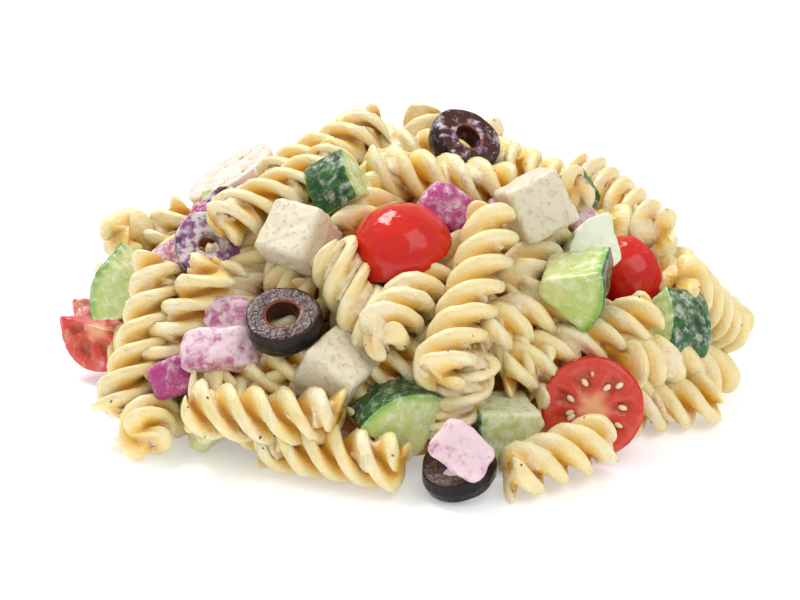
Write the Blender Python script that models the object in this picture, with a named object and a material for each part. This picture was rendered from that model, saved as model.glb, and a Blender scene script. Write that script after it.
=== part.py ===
"""A heap of pasta salad on a flat surface, with no bowl or plate.

Right-handed three-flight pasta twists lie over a smaller core, and halved tomatoes, cucumber
chunks, cheese cubes, olive rings and onion pieces nest between them. The heap stands on z = 0
with its middle at the origin, +X runs to the right, and -Y faces the viewer.

Pieces are placed as they are seen: each has a side of the heap that it is seen from, a place
(across, up) in millimetres on the plane through the heap's middle that squarely faces that
view, and from there it is dropped along the line of sight onto the heap.
"""

import math
import random
from dataclasses import dataclass

import bmesh
import bpy
import numpy as np
from mathutils import Matrix, Vector
from mathutils.bvhtree import BVHTree

MM = 0.001
UPWARD = np.array([0.0, 0.0, 1.0])

# The heap, to the outside of its pasta
HEAP_HALF_WIDTH = 85.0
HEAP_HALF_DEPTH = 76.0
HEAP_HEIGHT = 64.5
HEAP_ROUNDNESS = 1.8  # 2 is an ellipsoid, 1 a cone

# One pasta twist
TWIST_RADIUS = 6.79
TWIST_ROOM = 6.3  # the radius that the pieces keep free for a twist, whose flights give a little
TWIST_PITCH = 20.0
FLIGHTS = 3
FLIGHT_OUTLINE = ((0, 0.5), (64, 1.0))  # degrees round the axis, share of the radius
SPANS_PER_TURN = 6
END_TAPER = 0.86

# How the pieces lie
LAY_INSET = 7.0  # the middles of the outer twists lie this far in
CORE_INSET = 10.5
DEEPEST_INSET = 10.0  # the twists' axes lie no deeper than this
CLEARANCE = 0.4  # free space round each topping
PRESSED = 2.0  # how far a topping may press into the soft flights of a twist
MOST_TRIMMED = 1.5  # a twist that reaches further than this past the pressed flights is shortened
NEST_DISTANCE = 6.8  # least distance between two twists' axes, flight in groove
SAMPLES = 9  # points along each twist that are looked at
SHARES = np.linspace(-0.5, 0.5, SAMPLES)
TOUCHING_DISTANCE = 7.2  # two twists whose axes are this close are joined
CORE_GRIP = 3.4  # a twist whose axis is this close to the core is joined to it
DRAWN_IN = 0.8  # how far a loose twist goes towards the others in each round
SIDEWAYS_COST = 3.0  # a piece that makes room moves along the line of sight rather than across it
SETTLING_ROUNDS = 60
FREE_ROUNDS = 20  # the last rounds, in which nothing draws the pieces back to where they were seen
HOMING = 0.08
TWISTS_GIVE_WAY = 0.85  # the share of the room between a twist and a topping that the twist makes
SHORTEST_TWIST = 16.0
SAG = 0.05  # how much harder a piece that stands out further than it was seen is drawn back
GAVE_WAY = 0.02  # a little more than the clearance, so that rounding keeps it
PRESS_STEP = 0.5  # a twist that still touches nothing is pressed in by steps of this
MOST_PRESS_STEPS = 10
# Rows of twists round the back: the height of each, how many, their steepest angle, and the degrees
# round the heap, from its right, at which the row begins and ends
BACK_ROWS = ((8.0, 5, 0.3, 0, 165), (27.0, 5, 1.5, 0, 180), (45.0, 2, 1.5, 20, 100))
BACK_LENGTH = 36.0

# The view that the places are read from
VIEW_DISTANCE = 800.0
VIEW_ELEVATION = math.radians(22)

# The bare core, and the seats cut in it for the toppings
CORE_SEGMENTS = 24
CORE_RINGS = 10
SEAT_ROOM = 1.6  # times the clearance, as the seat grows less across its corners

SEED = 7


@dataclass
class Twist:
    """One pasta twist: its middle as seen, the way its head points as seen, and its real length."""

    name: str
    across: float
    up: float
    heading: float
    length: float
    lift: float = 0.0  # out of the heap, from where the outer twists lie
    rise: float = 0.0  # degrees that its head stands out of the heap's surface
    side: float = 0.0  # degrees round the heap to where it is seen from
    give: float = 1.0  # how readily it makes room
    square: float = 0.0  # the share by which it is turned off the heap, square to the view


@dataclass
class Topping:
    """One topping, or a twist that lies loose: its middle, and the ways that its face and top point.

    face and top are (right, up, towards the viewer) as seen, and top is squared to face.
    """

    name: str
    kind: str
    across: float
    up: float
    face: tuple
    top: tuple = (0, 1, 0)
    size: tuple = ()
    lift: float = 0.0
    side: float = 0.0


TWISTS = (
    Twist("front_low", -15.0, -25.5, -7, 35, lift=3),
    Twist("front_mid", -36.0, -8.0, 2, 36, lift=7, give=0.4),
    Twist("left_outer", -65.0, 7.0, 68, 39, lift=2),
    Twist("left_inner", -51.0, 10.5, 62, 30, lift=3),
    Twist("left_end", -60.0, -10.5, -55, 28, lift=2, rise=45),
    Twist("back_left", -60.0, 32.0, 36, 29, square=0.7),
    Twist("up_left", -26.5, 43.0, 207, 38, lift=3),
    Twist("up_left_top", -15.5, 51.5, 205, 34, lift=-1),
    Twist("crown_left", -10.5, 57.0, 52, 26, lift=-2),
    Twist("crown_front", 11.0, 48.5, -9, 36, give=0.5),
    Twist("crown_blade", 7.5, 56.5, 75, 20, square=0.6),
    Twist("crown_back", 0.0, 54.5, 0, 30, lift=-4),
    Twist("crown_right", 34.5, 48.0, -27, 29, lift=-2),
    Twist("slope_high", 53.5, 38.5, -48, 36),
    Twist("slope_mid", 65.5, 26.0, -44, 36, lift=1),
    Twist("slope_low", 73.0, 14.0, -38, 36),
    Twist("right_end", 67.5, 0.5, -12, 38, lift=2),
    Twist("right_low", 65.0, -14.0, -8, 28, lift=1),
    Twist("right_mid", 45.0, 7.0, 25, 42, lift=3),
    Twist("right_short", 36.0, 27.5, 35, 28, lift=-2),
    Twist("right_under", 32.0, 12.0, 22, 28, lift=-2),
    Twist("middle_upright", 19.0, 18.5, 70, 47, lift=6),
    Twist("middle_low", 14.5, -8.0, 82, 23),
    Twist("middle_left", -12.5, 18.5, 119, 25, lift=2, give=0.5),
    Twist("middle_broken", 0.0, 18.0, 55, 27, lift=4),
    Twist("left_middle", -35.5, 28.5, 12, 28),
)

TOPPINGS = (
    Topping("tomato_crown", "tomato_half", 2.5, 28.8, (0.3, -0.8, -0.5), size=(12.3,), lift=-2),
    Topping("tomato_front", "tomato_half", 45.5, -9.5, (-0.05, -0.12, 0.99), size=(11.9,), lift=2),
    Topping("tomato_right", "tomato_half", 57.5, 24.5, (0.55, 0.2, -0.8), size=(9.8,), lift=-3),
    Topping("tomato_left", "tomato_quarter", -75.0, 11.0, (-0.55, -0.1, 0.83), (0.1, 1.0, 0.3), (11.5,)),
    Topping("tomato_back_left", "tomato_half", -42.0, 50.0, (-0.5, 0.8, 0.33), size=(12.0,), lift=3),
    Topping("tomato_far_left", "tomato_quarter", -73.0, 18.0, (-0.3, 0.5, 0.8), size=(9.0,), lift=-4),
    Topping("tomato_sunk", "tomato_quarter", -12.5, -12.5, (0.1, 0.3, 0.95), size=(7.0,), lift=-1),
    Topping(
        "cucumber_top", "cucumber", -16.8, 40.5, (0.8, 0.45, 0.35), (-0.35, 0.35, 0.85), (14, 62, 11), 1
    ),
    Topping(
        "cucumber_left", "cucumber", -66.5, 20.5, (-0.2, -0.35, 0.9), (-0.85, 0.35, -0.25), (16, 62, 15)
    ),
    Topping(
        "cucumber_front", "cucumber", 0.5, -13.5, (0.25, -0.35, 0.9), (-0.25, 0.85, 0.45), (15.5, 88, 12), -2
    ),
    Topping(
        "cucumber_low", "cucumber", 27.0, -13.5, (0.3, -0.4, 0.86), (-0.85, -0.45, 0.1), (15.5, 70, 14), -1
    ),
    Topping(
        "cucumber_right", "cucumber", 45.5, 19.0, (-0.2, -0.5, 0.84), (0.9, 0.1, -0.5), (15.5, 66, 14), 5
    ),
    Topping(
        "cucumber_coated", "cucumber", 45.3, 32.0, (0.3, 0.25, 0.9), (-0.7, 0.6, 0.1), (12.5, 95, 9), 0
    ),
    Topping(
        "cucumber_peek", "cucumber", 42.5, 43.5, (-0.5, 0.7, 0.3), (0.65, 0.1, 0.75), (12.5, 60, 11), -2
    ),
    Topping(
        "cucumber_slope", "cucumber", 67.5, 11.5, (-0.75, 0.15, 0.6), (0.55, 0.2, 0.8), (15, 66, 13), 2
    ),
    Topping("cucumber_far", "cucumber", 59.5, 37.5, (-0.2, 0.2, 0.95), (0.5, 0.8, 0.0), (11, 80, 7), 0),
    Topping(
        "cucumber_corner", "cucumber", -49.5, -17.5, (0.35, 0.45, 0.8), (0.2, 0.75, -0.55), (12.5, 75, 13), -3
    ),
    Topping("cucumber_bit", "cucumber", -45.5, 40.5, (-0.2, 0.3, 0.9), (0.4, 0.9, 0.0), (7.5, 80, 6), -2),
    Topping("cheese_left", "cheese", -20.5, 37.0, (-0.4, 0.45, 0.8), (0.35, 0.9, -0.2), (13.8,), 2),
    Topping("cheese_right", "cheese", 38.5, 35.2, (0.25, -0.1, 0.96), (-0.42, 0.88, 0.2), (13.8,), 2),
    Topping("cheese_front", "cheese", -12.3, -3.3, (0.35, 0.6, 0.72), (0.75, -0.6, 0.1), (14.0,), 3),
    Topping("olive_front", "olive", -28.0, 12.0, (-0.08, 0.68, 0.73), size=(9.1, 0.42), lift=5),
    Topping("olive_top", "olive", 17.2, 54.4, (0.43, 0.55, 0.72), size=(9.0, 0.36), lift=11),
    Topping("olive_left", "olive", -47.3, 30.5, (0.12, 0.22, 0.97), size=(8.3, 0.3), lift=3),
    Topping("olive_low", "olive", 14.2, -21.5, (-0.2, 0.72, 0.66), size=(8.7,), lift=9),
    Topping("olive_peek", "olive", -41.0, 38.0, (0.5, 0.6, 0.6), size=(7.5,), lift=-5),
    Topping("onion_olive_side", "onion", -42.0, 13.5, (-0.1, 0.3, 0.95), size=(11, 9, 4.5)),
    Topping("onion_block", "onion", -44.5, 4.0, (0.0, 0.35, 0.93), (-0.05, 1, 0), (18, 10, 6.5), 3),
    Topping("onion_bright", "onion", -54.3, -3.3, (-0.1, -0.1, 0.99), (-0.45, 0.9, 0), (11.5, 9, 6), 5),
    Topping("onion_crown", "onion", 12.8, 39.0, (0.2, 0.2, 0.95), (0.55, 0.85, 0), (14.5, 10, 6), 2),
    Topping("onion_cheese_side", "onion", 47.0, 38.0, (0.2, 0.3, 0.9), size=(6, 7, 4.5)),
    Topping("onion_under_cheese", "onion", 42.0, 31.0, (0.1, -0.2, 0.95), size=(10, 5.5, 4.5), lift=-5),
    Topping("onion_left_back", "onion", -55.0, 27.5, (-0.2, 0.3, 0.93), (-0.5, 0.85, 0), (11, 9, 5)),
    Topping("onion_olive_top", "onion", -48.5, 37.5, (-0.4, 0.5, 0.75), (-0.7, 0.7, 0), (11, 6, 4)),
    Topping("onion_bit", "onion", 26.3, 41.5, (0.1, 0.4, 0.9), size=(6, 4, 4)),
    Topping("onion_on_olive", "onion", 17.0, -22.0, (0.1, 0.1, 0.98), (0.6, 0.8, 0), (14, 10, 5.5), 15),
    Topping("loose_twist", "twist", 39.3, -21.8, (0.82, 0.3, -0.48), size=(28,), lift=10),
    Topping("tomato_behind", "tomato_half", -20.0, 18.0, (0.2, 0.3, 0.93), size=(12.0,), lift=4, side=180),
    Topping(
        "cucumber_behind", "cucumber", 14.0, 18.0, (-0.3, 0.4, 0.9), (0.7, 0.6, 0.3), (16, 75, 12), 0, 180
    ),
    Topping("cheese_behind", "cheese", -40.0, 6.0, (-0.3, 0.5, 0.8), (0.4, 0.8, -0.2), (15.0,), side=180),
    Topping("olive_behind", "olive", 0.0, 12.0, (0.2, 0.5, 0.84), size=(9.0,), lift=3, side=180),
    Topping(
        "onion_behind", "onion", -10.0, 2.0, (0.1, 0.3, 0.95), (0.5, 0.8, 0), (14, 10, 5.5), 3, side=180
    ),
)


def unit(vector):
    return vector / np.linalg.norm(vector)


def view_basis(side):
    """The right, up and towards-the-viewer directions of the view from this side of the heap."""
    turn = math.radians(side)
    right = np.array([math.cos(turn), math.sin(turn), 0.0])
    ahead = np.array([-math.sin(turn), math.cos(turn), 0.0])
    level, climb = math.cos(VIEW_ELEVATION), math.sin(VIEW_ELEVATION)
    up = climb * ahead + np.array([0.0, 0.0, level])
    towards = -level * ahead + np.array([0.0, 0.0, climb])
    return right, up, towards


def heap_level(point, inset):
    """Under 1 inside the heap's surface moved in by inset, and over 1 outside it."""
    x, y, z = (
        abs(point[0]) / (HEAP_HALF_WIDTH - inset),
        abs(point[1]) / (HEAP_HALF_DEPTH - inset),
        max(point[2], 0.0) / (HEAP_HEIGHT - inset),
    )
    return math.hypot(x, y) ** HEAP_ROUNDNESS + z**HEAP_ROUNDNESS


def heap_normal(point, inset):
    """The outward normal of the heap's surface near this point."""
    step = 0.05
    slope = [
        heap_level(point + step * axis, inset) - heap_level(point - step * axis, inset)
        for axis in np.eye(3)
    ]
    slope[2] = max(slope[2], 0.0)
    return unit(np.array(slope))


def on_heap(way):
    """The point of the heap's surface in this direction, in shares of its half sizes."""
    flat, tall = math.hypot(way[0], way[1]), abs(way[2])
    return way * (flat**HEAP_ROUNDNESS + tall**HEAP_ROUNDNESS) ** (-1 / HEAP_ROUNDNESS)


def dropped_on_heap(side, across, up, inset=LAY_INSET):
    """Where the line of sight to (across, up) first meets the heap, or passes nearest to it."""
    right, rise, towards = view_basis(side)
    eye = VIEW_DISTANCE * towards
    sight = unit(across * right + up * rise - eye)
    reach = np.linspace(VIEW_DISTANCE - 1.3 * HEAP_HALF_WIDTH, VIEW_DISTANCE + HEAP_HALF_WIDTH, 400)
    reach = [t for t in reach if (eye + t * sight)[2] >= 0.0]
    levels = [heap_level(eye + t * sight, inset) for t in reach]
    inside = [t for t, level in zip(reach, levels) if level <= 1.0]
    nearest = inside[0] if inside else reach[int(np.argmin(levels))]
    return eye + nearest * sight, sight


def shift_for(push, amount, sight):
    """The shift that moves a piece by amount along push, mostly along the line of sight."""
    ahead = (push @ sight) * sight
    across = (push - ahead) / SIDEWAYS_COST
    return amount * (ahead + across) / (push @ (ahead + across))


class Strand:
    """A pasta twist's axis, in millimetres, which settling may move and shorten."""

    def __init__(self, name, middle, along, length, sight, give=1.0):
        self.name = name
        self.middle = middle
        self.along = unit(along)
        self.length = length
        self.sight = sight
        self.give = give
        self.home = (middle.copy(), self.along.copy())

    def points(self, count):
        """Points along the axis, as rows."""
        steps = np.linspace(-0.5, 0.5, count) * self.length
        return self.middle + steps[:, None] * self.along

    def push(self, where, direction, amount):
        """Makes room at where, from -0.5 to 0.5 along the strand, by amount along direction."""
        shift = shift_for(direction, amount * self.give, self.sight)
        self.middle = self.middle + 0.75 * shift
        self.along = unit(self.along + 2.0 * where * shift / self.length)


def placed_strand(twist):
    """The strand of a twist as it is seen, lying on the heap."""
    point, sight = dropped_on_heap(twist.side, twist.across, twist.up)
    right, up, _ = view_basis(twist.side)
    angle = math.radians(twist.heading)
    seen = math.cos(angle) * right + math.sin(angle) * up
    normal = heap_normal(point, LAY_INSET)
    along = unit(np.cross(np.cross(sight, seen), normal))
    if along @ seen < 0:
        along = -along
    along = unit((1.0 - twist.square) * along + twist.square * seen)
    rise = math.radians(twist.rise)
    along = math.cos(rise) * along + math.sin(rise) * normal
    return Strand(twist.name, point - twist.lift * sight, along, twist.length, sight, twist.give)


def topping_matrix(topping, shift):
    """Turns a topping's own frame, face +Z and top +Y, into its place on the heap, in metres."""
    basis = np.array(view_basis(topping.side))
    point, sight = dropped_on_heap(topping.side, topping.across, topping.up)
    point = point - topping.lift * sight + shift
    face = unit(np.array(topping.face) @ basis)
    top = np.array(topping.top) @ basis
    top = unit(top - (top @ face) * face)
    matrix = Matrix(np.column_stack([np.cross(top, face), top, face])).to_4x4()
    matrix.translation = Vector(point * MM)
    return matrix


def tomato_mesh(radius, cuts):
    """A ball of that radius with a flat cut face for each outward direction in cuts."""
    mesh = bmesh.new()
    bmesh.ops.create_uvsphere(mesh, u_segments=12, v_segments=6, radius=radius)
    for direction in cuts:
        parts = mesh.verts[:] + mesh.edges[:] + mesh.faces[:]
        bmesh.ops.bisect_plane(mesh, geom=parts, plane_co=(0, 0, 0), plane_no=direction, clear_outer=True)
        bmesh.ops.holes_fill(mesh, edges=mesh.edges[:])
    return mesh


def cucumber_mesh(radius, angle, thickness):
    """A sector of a cucumber slice, its skin towards +Y, centred between its tip and its skin."""
    mesh = bmesh.new()
    steps = 5
    angles = [math.radians(90 + angle * (i / steps - 0.5)) for i in range(steps + 1)]
    tip = radius * 0.12
    outline = [(-tip, 0.0), (tip, 0.0)] + [(radius * math.cos(a), radius * math.sin(a)) for a in angles]
    corners = [mesh.verts.new((x, y - radius / 2, -thickness / 2)) for x, y in outline]
    floor = mesh.faces.new(corners)
    grown = bmesh.ops.extrude_face_region(mesh, geom=[floor])["geom"]
    top = [v for v in grown if isinstance(v, bmesh.types.BMVert)]
    bmesh.ops.translate(mesh, verts=top, vec=(0, 0, thickness))
    bmesh.ops.recalc_face_normals(mesh, faces=mesh.faces[:])
    return mesh


def cheese_mesh(side):
    """A soft-edged cube of cheese."""
    mesh = bmesh.new()
    bmesh.ops.create_cube(mesh, size=side)
    bmesh.ops.bevel(mesh, geom=mesh.edges[:], offset=0.12 * side, segments=1, affect="EDGES")
    return mesh


def olive_mesh(radius, hole_share=0.5):
    """A ring cut across a pitted olive, round its +Z axis."""
    hole, half = hole_share * radius, 0.3 * radius
    profile = [(0.94 * radius, half), (radius, 0.0), (0.94 * radius, -half), (hole, -half), (hole, half)]
    mesh = bmesh.new()
    ring = [mesh.verts.new((x, 0.0, z)) for x, z in profile]
    edges = [mesh.edges.new((a, b)) for a, b in zip(ring, ring[1:] + ring[:1])]
    steps = 12
    bmesh.ops.spin(
        mesh, geom=ring + edges, cent=(0, 0, 0), axis=(0, 0, 1), angle=math.tau, steps=steps, use_merge=True
    )
    bmesh.ops.remove_doubles(mesh, verts=mesh.verts[:], dist=1e-4)
    bmesh.ops.recalc_face_normals(mesh, faces=mesh.faces[:])
    return mesh


def onion_mesh(width, height, thickness):
    """A chopped piece of onion layer: a small slab, bowed outwards on its +Z side."""
    mesh = bmesh.new()
    bmesh.ops.create_cube(mesh, size=1.0)
    bmesh.ops.subdivide_edges(mesh, edges=mesh.edges[:], cuts=1, use_grid_fill=True)
    bow = 0.12 * width
    for vert in mesh.verts:
        x, y, z = vert.co
        round_off = 1.0 - 0.28 * (abs(2 * x * 2 * y)) - 0.10 * abs(2 * z)
        dome = bow * (1.0 - (2 * x) ** 2 * 0.7 - (2 * y) ** 2 * 0.3)
        vert.co = (x * width * round_off, y * height * round_off, z * thickness + dome - 0.5 * bow)
    return mesh


def twist_mesh(length):
    """A pasta twist round +Z: a star-shaped section, turned a step further with each extrusion."""
    spans = max(3, round(SPANS_PER_TURN * length / TWIST_PITCH))
    step = length / spans
    mesh = bmesh.new()
    rim = []
    for flight in range(FLIGHTS):
        for degrees, share in FLIGHT_OUTLINE:
            angle = math.radians(degrees + flight * 360 / FLIGHTS)
            radius = share * TWIST_RADIUS
            rim.append(mesh.verts.new((radius * math.cos(angle), radius * math.sin(angle), -length / 2)))
    start = mesh.faces.new(rim)
    bmesh.ops.spin(
        mesh,
        geom=rim + list(start.edges) + [start],
        cent=(0, 0, 0),
        axis=(0, 0, 1),
        dvec=(0, 0, step),
        angle=math.tau * length / TWIST_PITCH,
        steps=spans,
    )
    for vert in mesh.verts:
        if abs(vert.co.z) > length / 2 - 0.5 * step:
            vert.co.xy *= END_TAPER
    bmesh.ops.recalc_face_normals(mesh, faces=mesh.faces[:])
    bmesh.ops.triangulate(mesh, faces=mesh.faces[:])
    return mesh


SHAPES = {
    "tomato_half": lambda size: tomato_mesh(size[0], [(0, 0, 1)]),
    "tomato_quarter": lambda size: tomato_mesh(size[0], [(0, 0, 1), (0, 1, 0)]),
    "cucumber": lambda size: cucumber_mesh(*size),
    "cheese": lambda size: cheese_mesh(*size),
    "olive": lambda size: olive_mesh(*size),
    "onion": lambda size: onion_mesh(*size),
    "twist": lambda size: twist_mesh(*size),
}

COLOURS = {  # base colour and roughness
    "tomato_half": ((0.72, 0.07, 0.03, 1), 0.2),
    "tomato_quarter": ((0.72, 0.07, 0.03, 1), 0.2),
    "cucumber": ((0.42, 0.55, 0.16, 1), 0.35),
    "cheese": ((0.86, 0.82, 0.70, 1), 0.5),
    "olive": ((0.05, 0.025, 0.03, 1), 0.25),
    "onion": ((0.60, 0.20, 0.38, 1), 0.3),
    "pasta": ((0.86, 0.66, 0.30, 1), 0.4),
    "twist": ((0.86, 0.66, 0.30, 1), 0.4),
}


class Hull:
    """The convex hull of a topping: its corners and its faces' planes, in millimetres."""

    def __init__(self, topping):
        mesh = SHAPES[topping.kind](topping.size)
        turned = topping_matrix(topping, np.zeros(3))
        bmesh.ops.scale(mesh, vec=(MM, MM, MM), verts=mesh.verts[:])
        bmesh.ops.transform(mesh, matrix=turned, verts=mesh.verts[:])
        made = bmesh.ops.convex_hull(mesh, input=mesh.verts[:])
        faces = [f for f in made["geom"] if isinstance(f, bmesh.types.BMFace)]
        corners = {v for f in faces for v in f.verts}
        self.corners = np.array([v.co for v in corners]) / MM
        centre = self.corners.mean(axis=0)
        normals = np.array([f.normal for f in faces])
        places = np.array([f.calc_center_median() for f in faces]) / MM
        outward = np.sign(((places - centre) * normals).sum(axis=1))
        self.normals = normals * outward[:, None]
        self.places = places
        self.topping = topping
        self.sight = dropped_on_heap(topping.side, topping.across, topping.up)[1]
        self.shift = np.zeros(3)
        self.move(self.shift)
        self.reach = np.linalg.norm(self.corners - centre, axis=1).max()
        mesh.free()

    def centre(self):
        return self.corners.mean(axis=0)

    def move(self, shift):
        self.shift = self.shift + shift
        self.corners = self.corners + shift
        self.places = self.places + shift
        self.levels = (self.places * self.normals).sum(axis=1)

    def push(self, direction, amount):
        """Makes room by amount along direction."""
        self.move(shift_for(direction, amount, self.sight))

    def outside(self, points):
        """For each point, how far it is outside the hull by its planes, and the plane that says so."""
        heights = points @ self.normals.T - self.levels
        best = heights.argmax(axis=1)
        return heights[np.arange(len(points)), best], best


def parting_of(one, other):
    """The widest gap between two hulls across a face of either, and its direction from one to other."""
    best = (-1e9, None)
    for near, far, sign in ((one, other, 1.0), (other, one, -1.0)):
        heights = far.corners @ near.normals.T - (near.places * near.normals).sum(axis=1)
        lowest = heights.min(axis=0)
        face = int(lowest.argmax())
        if lowest[face] > best[0]:
            best = (lowest[face], sign * near.normals[face])
    return best


def part_hulls(one, other):
    """Moves two toppings apart where they would cross."""
    if np.linalg.norm(one.centre() - other.centre()) > one.reach + other.reach + 1.0:
        return
    gap, direction = parting_of(one, other)
    if gap < CLEARANCE:
        amount = 0.5 * (CLEARANCE + GAVE_WAY - gap)
        one.push(-direction, amount)
        other.push(direction, amount)


def nearest_points(one, other):
    """The nearest points of two strands, each as its share from -0.5 to 0.5, and the gap vector."""
    gaps = other.points(SAMPLES)[None, :, :] - one.points(SAMPLES)[:, None, :]
    i, j = np.unravel_index((gaps**2).sum(axis=2).argmin(), (SAMPLES, SAMPLES))
    return SHARES[i], SHARES[j], gaps[i, j]


def part_strands(one, other):
    """Moves two twists apart where they lie closer than flight in groove."""
    if np.linalg.norm(one.middle - other.middle) > 0.5 * (one.length + other.length) + NEST_DISTANCE:
        return
    here, there, gap = nearest_points(one, other)
    distance = np.linalg.norm(gap)
    if 1e-6 < distance < NEST_DISTANCE:
        amount = 0.25 * (NEST_DISTANCE - distance)
        one.push(here, -gap / distance, amount)
        other.push(there, gap / distance, amount)


def overreach(strand, hull):
    """How far a strand reaches into a topping's free space, where along it, and the way out."""
    if np.linalg.norm(strand.middle - hull.centre()) > 0.5 * strand.length + hull.reach + TWIST_ROOM + 1.0:
        return -1.0, 0.0, UPWARD
    heights, faces = hull.outside(strand.points(SAMPLES))
    k = int(heights.argmin())
    return TWIST_ROOM - PRESSED - heights[k], SHARES[k], hull.normals[faces[k]]


def part_strand_and_hull(strand, hull):
    """Moves a twist and a topping apart where they would cross."""
    amount, where, way_out = overreach(strand, hull)
    if amount > 0:
        strand.push(where, way_out, TWISTS_GIVE_WAY * amount)
        hull.push(-way_out, (1.0 - TWISTS_GIVE_WAY) * amount)


def keep_above_floor(piece, lowest_allowed, where_and_height):
    """Lifts a piece whose lowest points would sink below the floor."""
    for where, height in where_and_height:
        low = lowest_allowed - height
        if low > 0:
            piece.push(*where, UPWARD, low)


def draw_in_loose(strands):
    """Moves each twist that no chain of others joins to the core towards one that is joined."""
    joined = [s for s in strands if min(heap_level(p, CORE_INSET - CORE_GRIP) for p in s.points(5)) < 1]
    loose = [s for s in strands if s not in joined]
    found = True
    while found:
        found = False
        for strand in list(loose):
            gaps = [nearest_points(strand, other)[2] for other in joined]
            if min(np.linalg.norm(gap) for gap in gaps) < TOUCHING_DISTANCE:
                joined.append(strand)
                loose.remove(strand)
                found = True
    for strand in loose:
        strand.middle = strand.middle - DRAWN_IN * heap_normal(strand.middle, LAY_INSET)
    return loose


def keep_out_of_core(strand):
    """Moves a strand out that lies too deep in the heap for its twist to show."""
    if heap_level(strand.middle, DEEPEST_INSET) < 1.0:
        strand.push(0.0, heap_normal(strand.middle, DEEPEST_INSET), 0.5)


def drawn_back(moved, sight, homing, sag):
    """The shift that draws a piece back to where it was seen, harder when it has moved outwards."""
    return -homing * moved + sag * max(0.0, -moved @ sight) * sight


def settle(strands, hulls):
    """Lets the pieces make room for each other, near where they were seen and above the floor."""
    homing, sag = HOMING, SAG
    for round_number in range(SETTLING_ROUNDS):
        for i, one in enumerate(hulls):
            for other in hulls[i + 1 :]:
                part_hulls(one, other)
        draw_in_loose(strands)
        for i, one in enumerate(strands):
            for other in strands[i + 1 :]:
                part_strands(one, other)
            for hull in hulls:
                part_strand_and_hull(one, hull)
        if round_number >= SETTLING_ROUNDS - FREE_ROUNDS:
            homing = sag = 0.0
        for hull in hulls:
            hull.move(drawn_back(hull.shift, hull.sight, homing, sag))
            keep_above_floor(hull, CLEARANCE, [((), hull.corners[:, 2].min())])
        for strand in strands:
            moved = strand.middle - strand.home[0]
            strand.middle = strand.middle + drawn_back(moved, strand.sight, homing, sag)
            strand.along = unit(strand.along + homing * (strand.home[1] - strand.along))
            ends = [((share,), strand.points(SAMPLES)[k][2]) for k, share in ((0, -0.5), (-1, 0.5))]
            keep_above_floor(strand, TWIST_RADIUS, ends)
            keep_out_of_core(strand)


def part_all_hulls(hulls):
    """The last small moves that leave every topping clear of the others and of the floor."""
    for _ in range(SETTLING_ROUNDS):
        for i, one in enumerate(hulls):
            for other in hulls[i + 1 :]:
                part_hulls(one, other)
        for hull in hulls:
            keep_above_floor(hull, CLEARANCE, [((), hull.corners[:, 2].min())])


def shortened_to_fit(strand, hulls):
    """Trims a strand that still reaches into a topping, or returns None if that leaves too little."""
    while max(overreach(strand, hull)[0] for hull in hulls) > MOST_TRIMMED:
        if strand.length < SHORTEST_TWIST + 1.0:
            return None
        ends = [strand.middle + share * strand.length * strand.along for share in (-0.5, 0.5)]
        heights = [min(hull.outside(end[None, :])[0][0] for hull in hulls) for end in ends]
        trim = 0.5 if heights[0] < heights[1] else -0.5
        strand.middle = strand.middle + trim * strand.along
        strand.length -= 1.0
    return strand


def back_strands(draw):
    """Rows of strands round the back of the heap, at varied angles."""
    made = []
    for height, count, steepest, first, last in BACK_ROWS:
        for i in range(count):
            bearing = math.radians(first + (last - first) * (i + 0.5) / count) + draw.uniform(-0.08, 0.08)
            tall = (height / (HEAP_HEIGHT - LAY_INSET)) ** HEAP_ROUNDNESS
            flat = (1.0 - tall) ** (1 / HEAP_ROUNDNESS)
            point = np.array(
                [
                    flat * (HEAP_HALF_WIDTH - LAY_INSET) * math.cos(bearing),
                    flat * (HEAP_HALF_DEPTH - LAY_INSET) * math.sin(bearing),
                    height,
                ]
            )
            normal = heap_normal(point, LAY_INSET)
            level = unit(np.cross(normal, UPWARD))
            spin = steepest * draw.uniform(0.2, 1.0) * (-1) ** i
            along = math.cos(spin) * level + math.sin(spin) * np.cross(normal, level)
            length = BACK_LENGTH + draw.uniform(-4, 4)
            made.append(Strand(f"back_{height:.0f}_{i}", point, along, length, -normal))
    return made


def material(name):
    """The plain material of one kind of piece."""
    colour, roughness = COLOURS[name]
    made = bpy.data.materials.get(name) or bpy.data.materials.new(name)
    made.use_nodes = True
    shader = made.node_tree.nodes["Principled BSDF"]
    shader.inputs["Base Color"].default_value = colour
    shader.inputs["Roughness"].default_value = roughness
    return made


def add_collection(name):
    made = bpy.data.collections.new(name)
    bpy.context.scene.collection.children.link(made)
    return made


def add_object(name, mesh, kind, collection):
    """An object in metres from a bmesh in millimetres."""
    bmesh.ops.scale(mesh, vec=(MM, MM, MM), verts=mesh.verts[:])
    data = bpy.data.meshes.new(name)
    mesh.to_mesh(data)
    mesh.free()
    data.materials.append(material(kind))
    made = bpy.data.objects.new(name, data)
    collection.objects.link(made)
    return made


def add_twist(strand, collection, draw):
    """A twist laid along a strand, turned about its axis by a random share of a flight."""
    made = add_object(strand.name, twist_mesh(strand.length), "pasta", collection)
    spin = Matrix.Rotation(draw.uniform(0, math.tau), 4, "Z")
    aim = Vector(strand.along).to_track_quat("Z", "Y").to_matrix().to_4x4()
    made.matrix_world = Matrix.Translation(Vector(strand.middle * MM)) @ aim @ spin
    return made


def add_topping(hull, collection):
    """A topping where settling left its hull."""
    kind = hull.topping.kind
    made = add_object(hull.topping.name, SHAPES[kind](hull.topping.size), kind, collection)
    made.matrix_world = topping_matrix(hull.topping, hull.shift)


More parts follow.
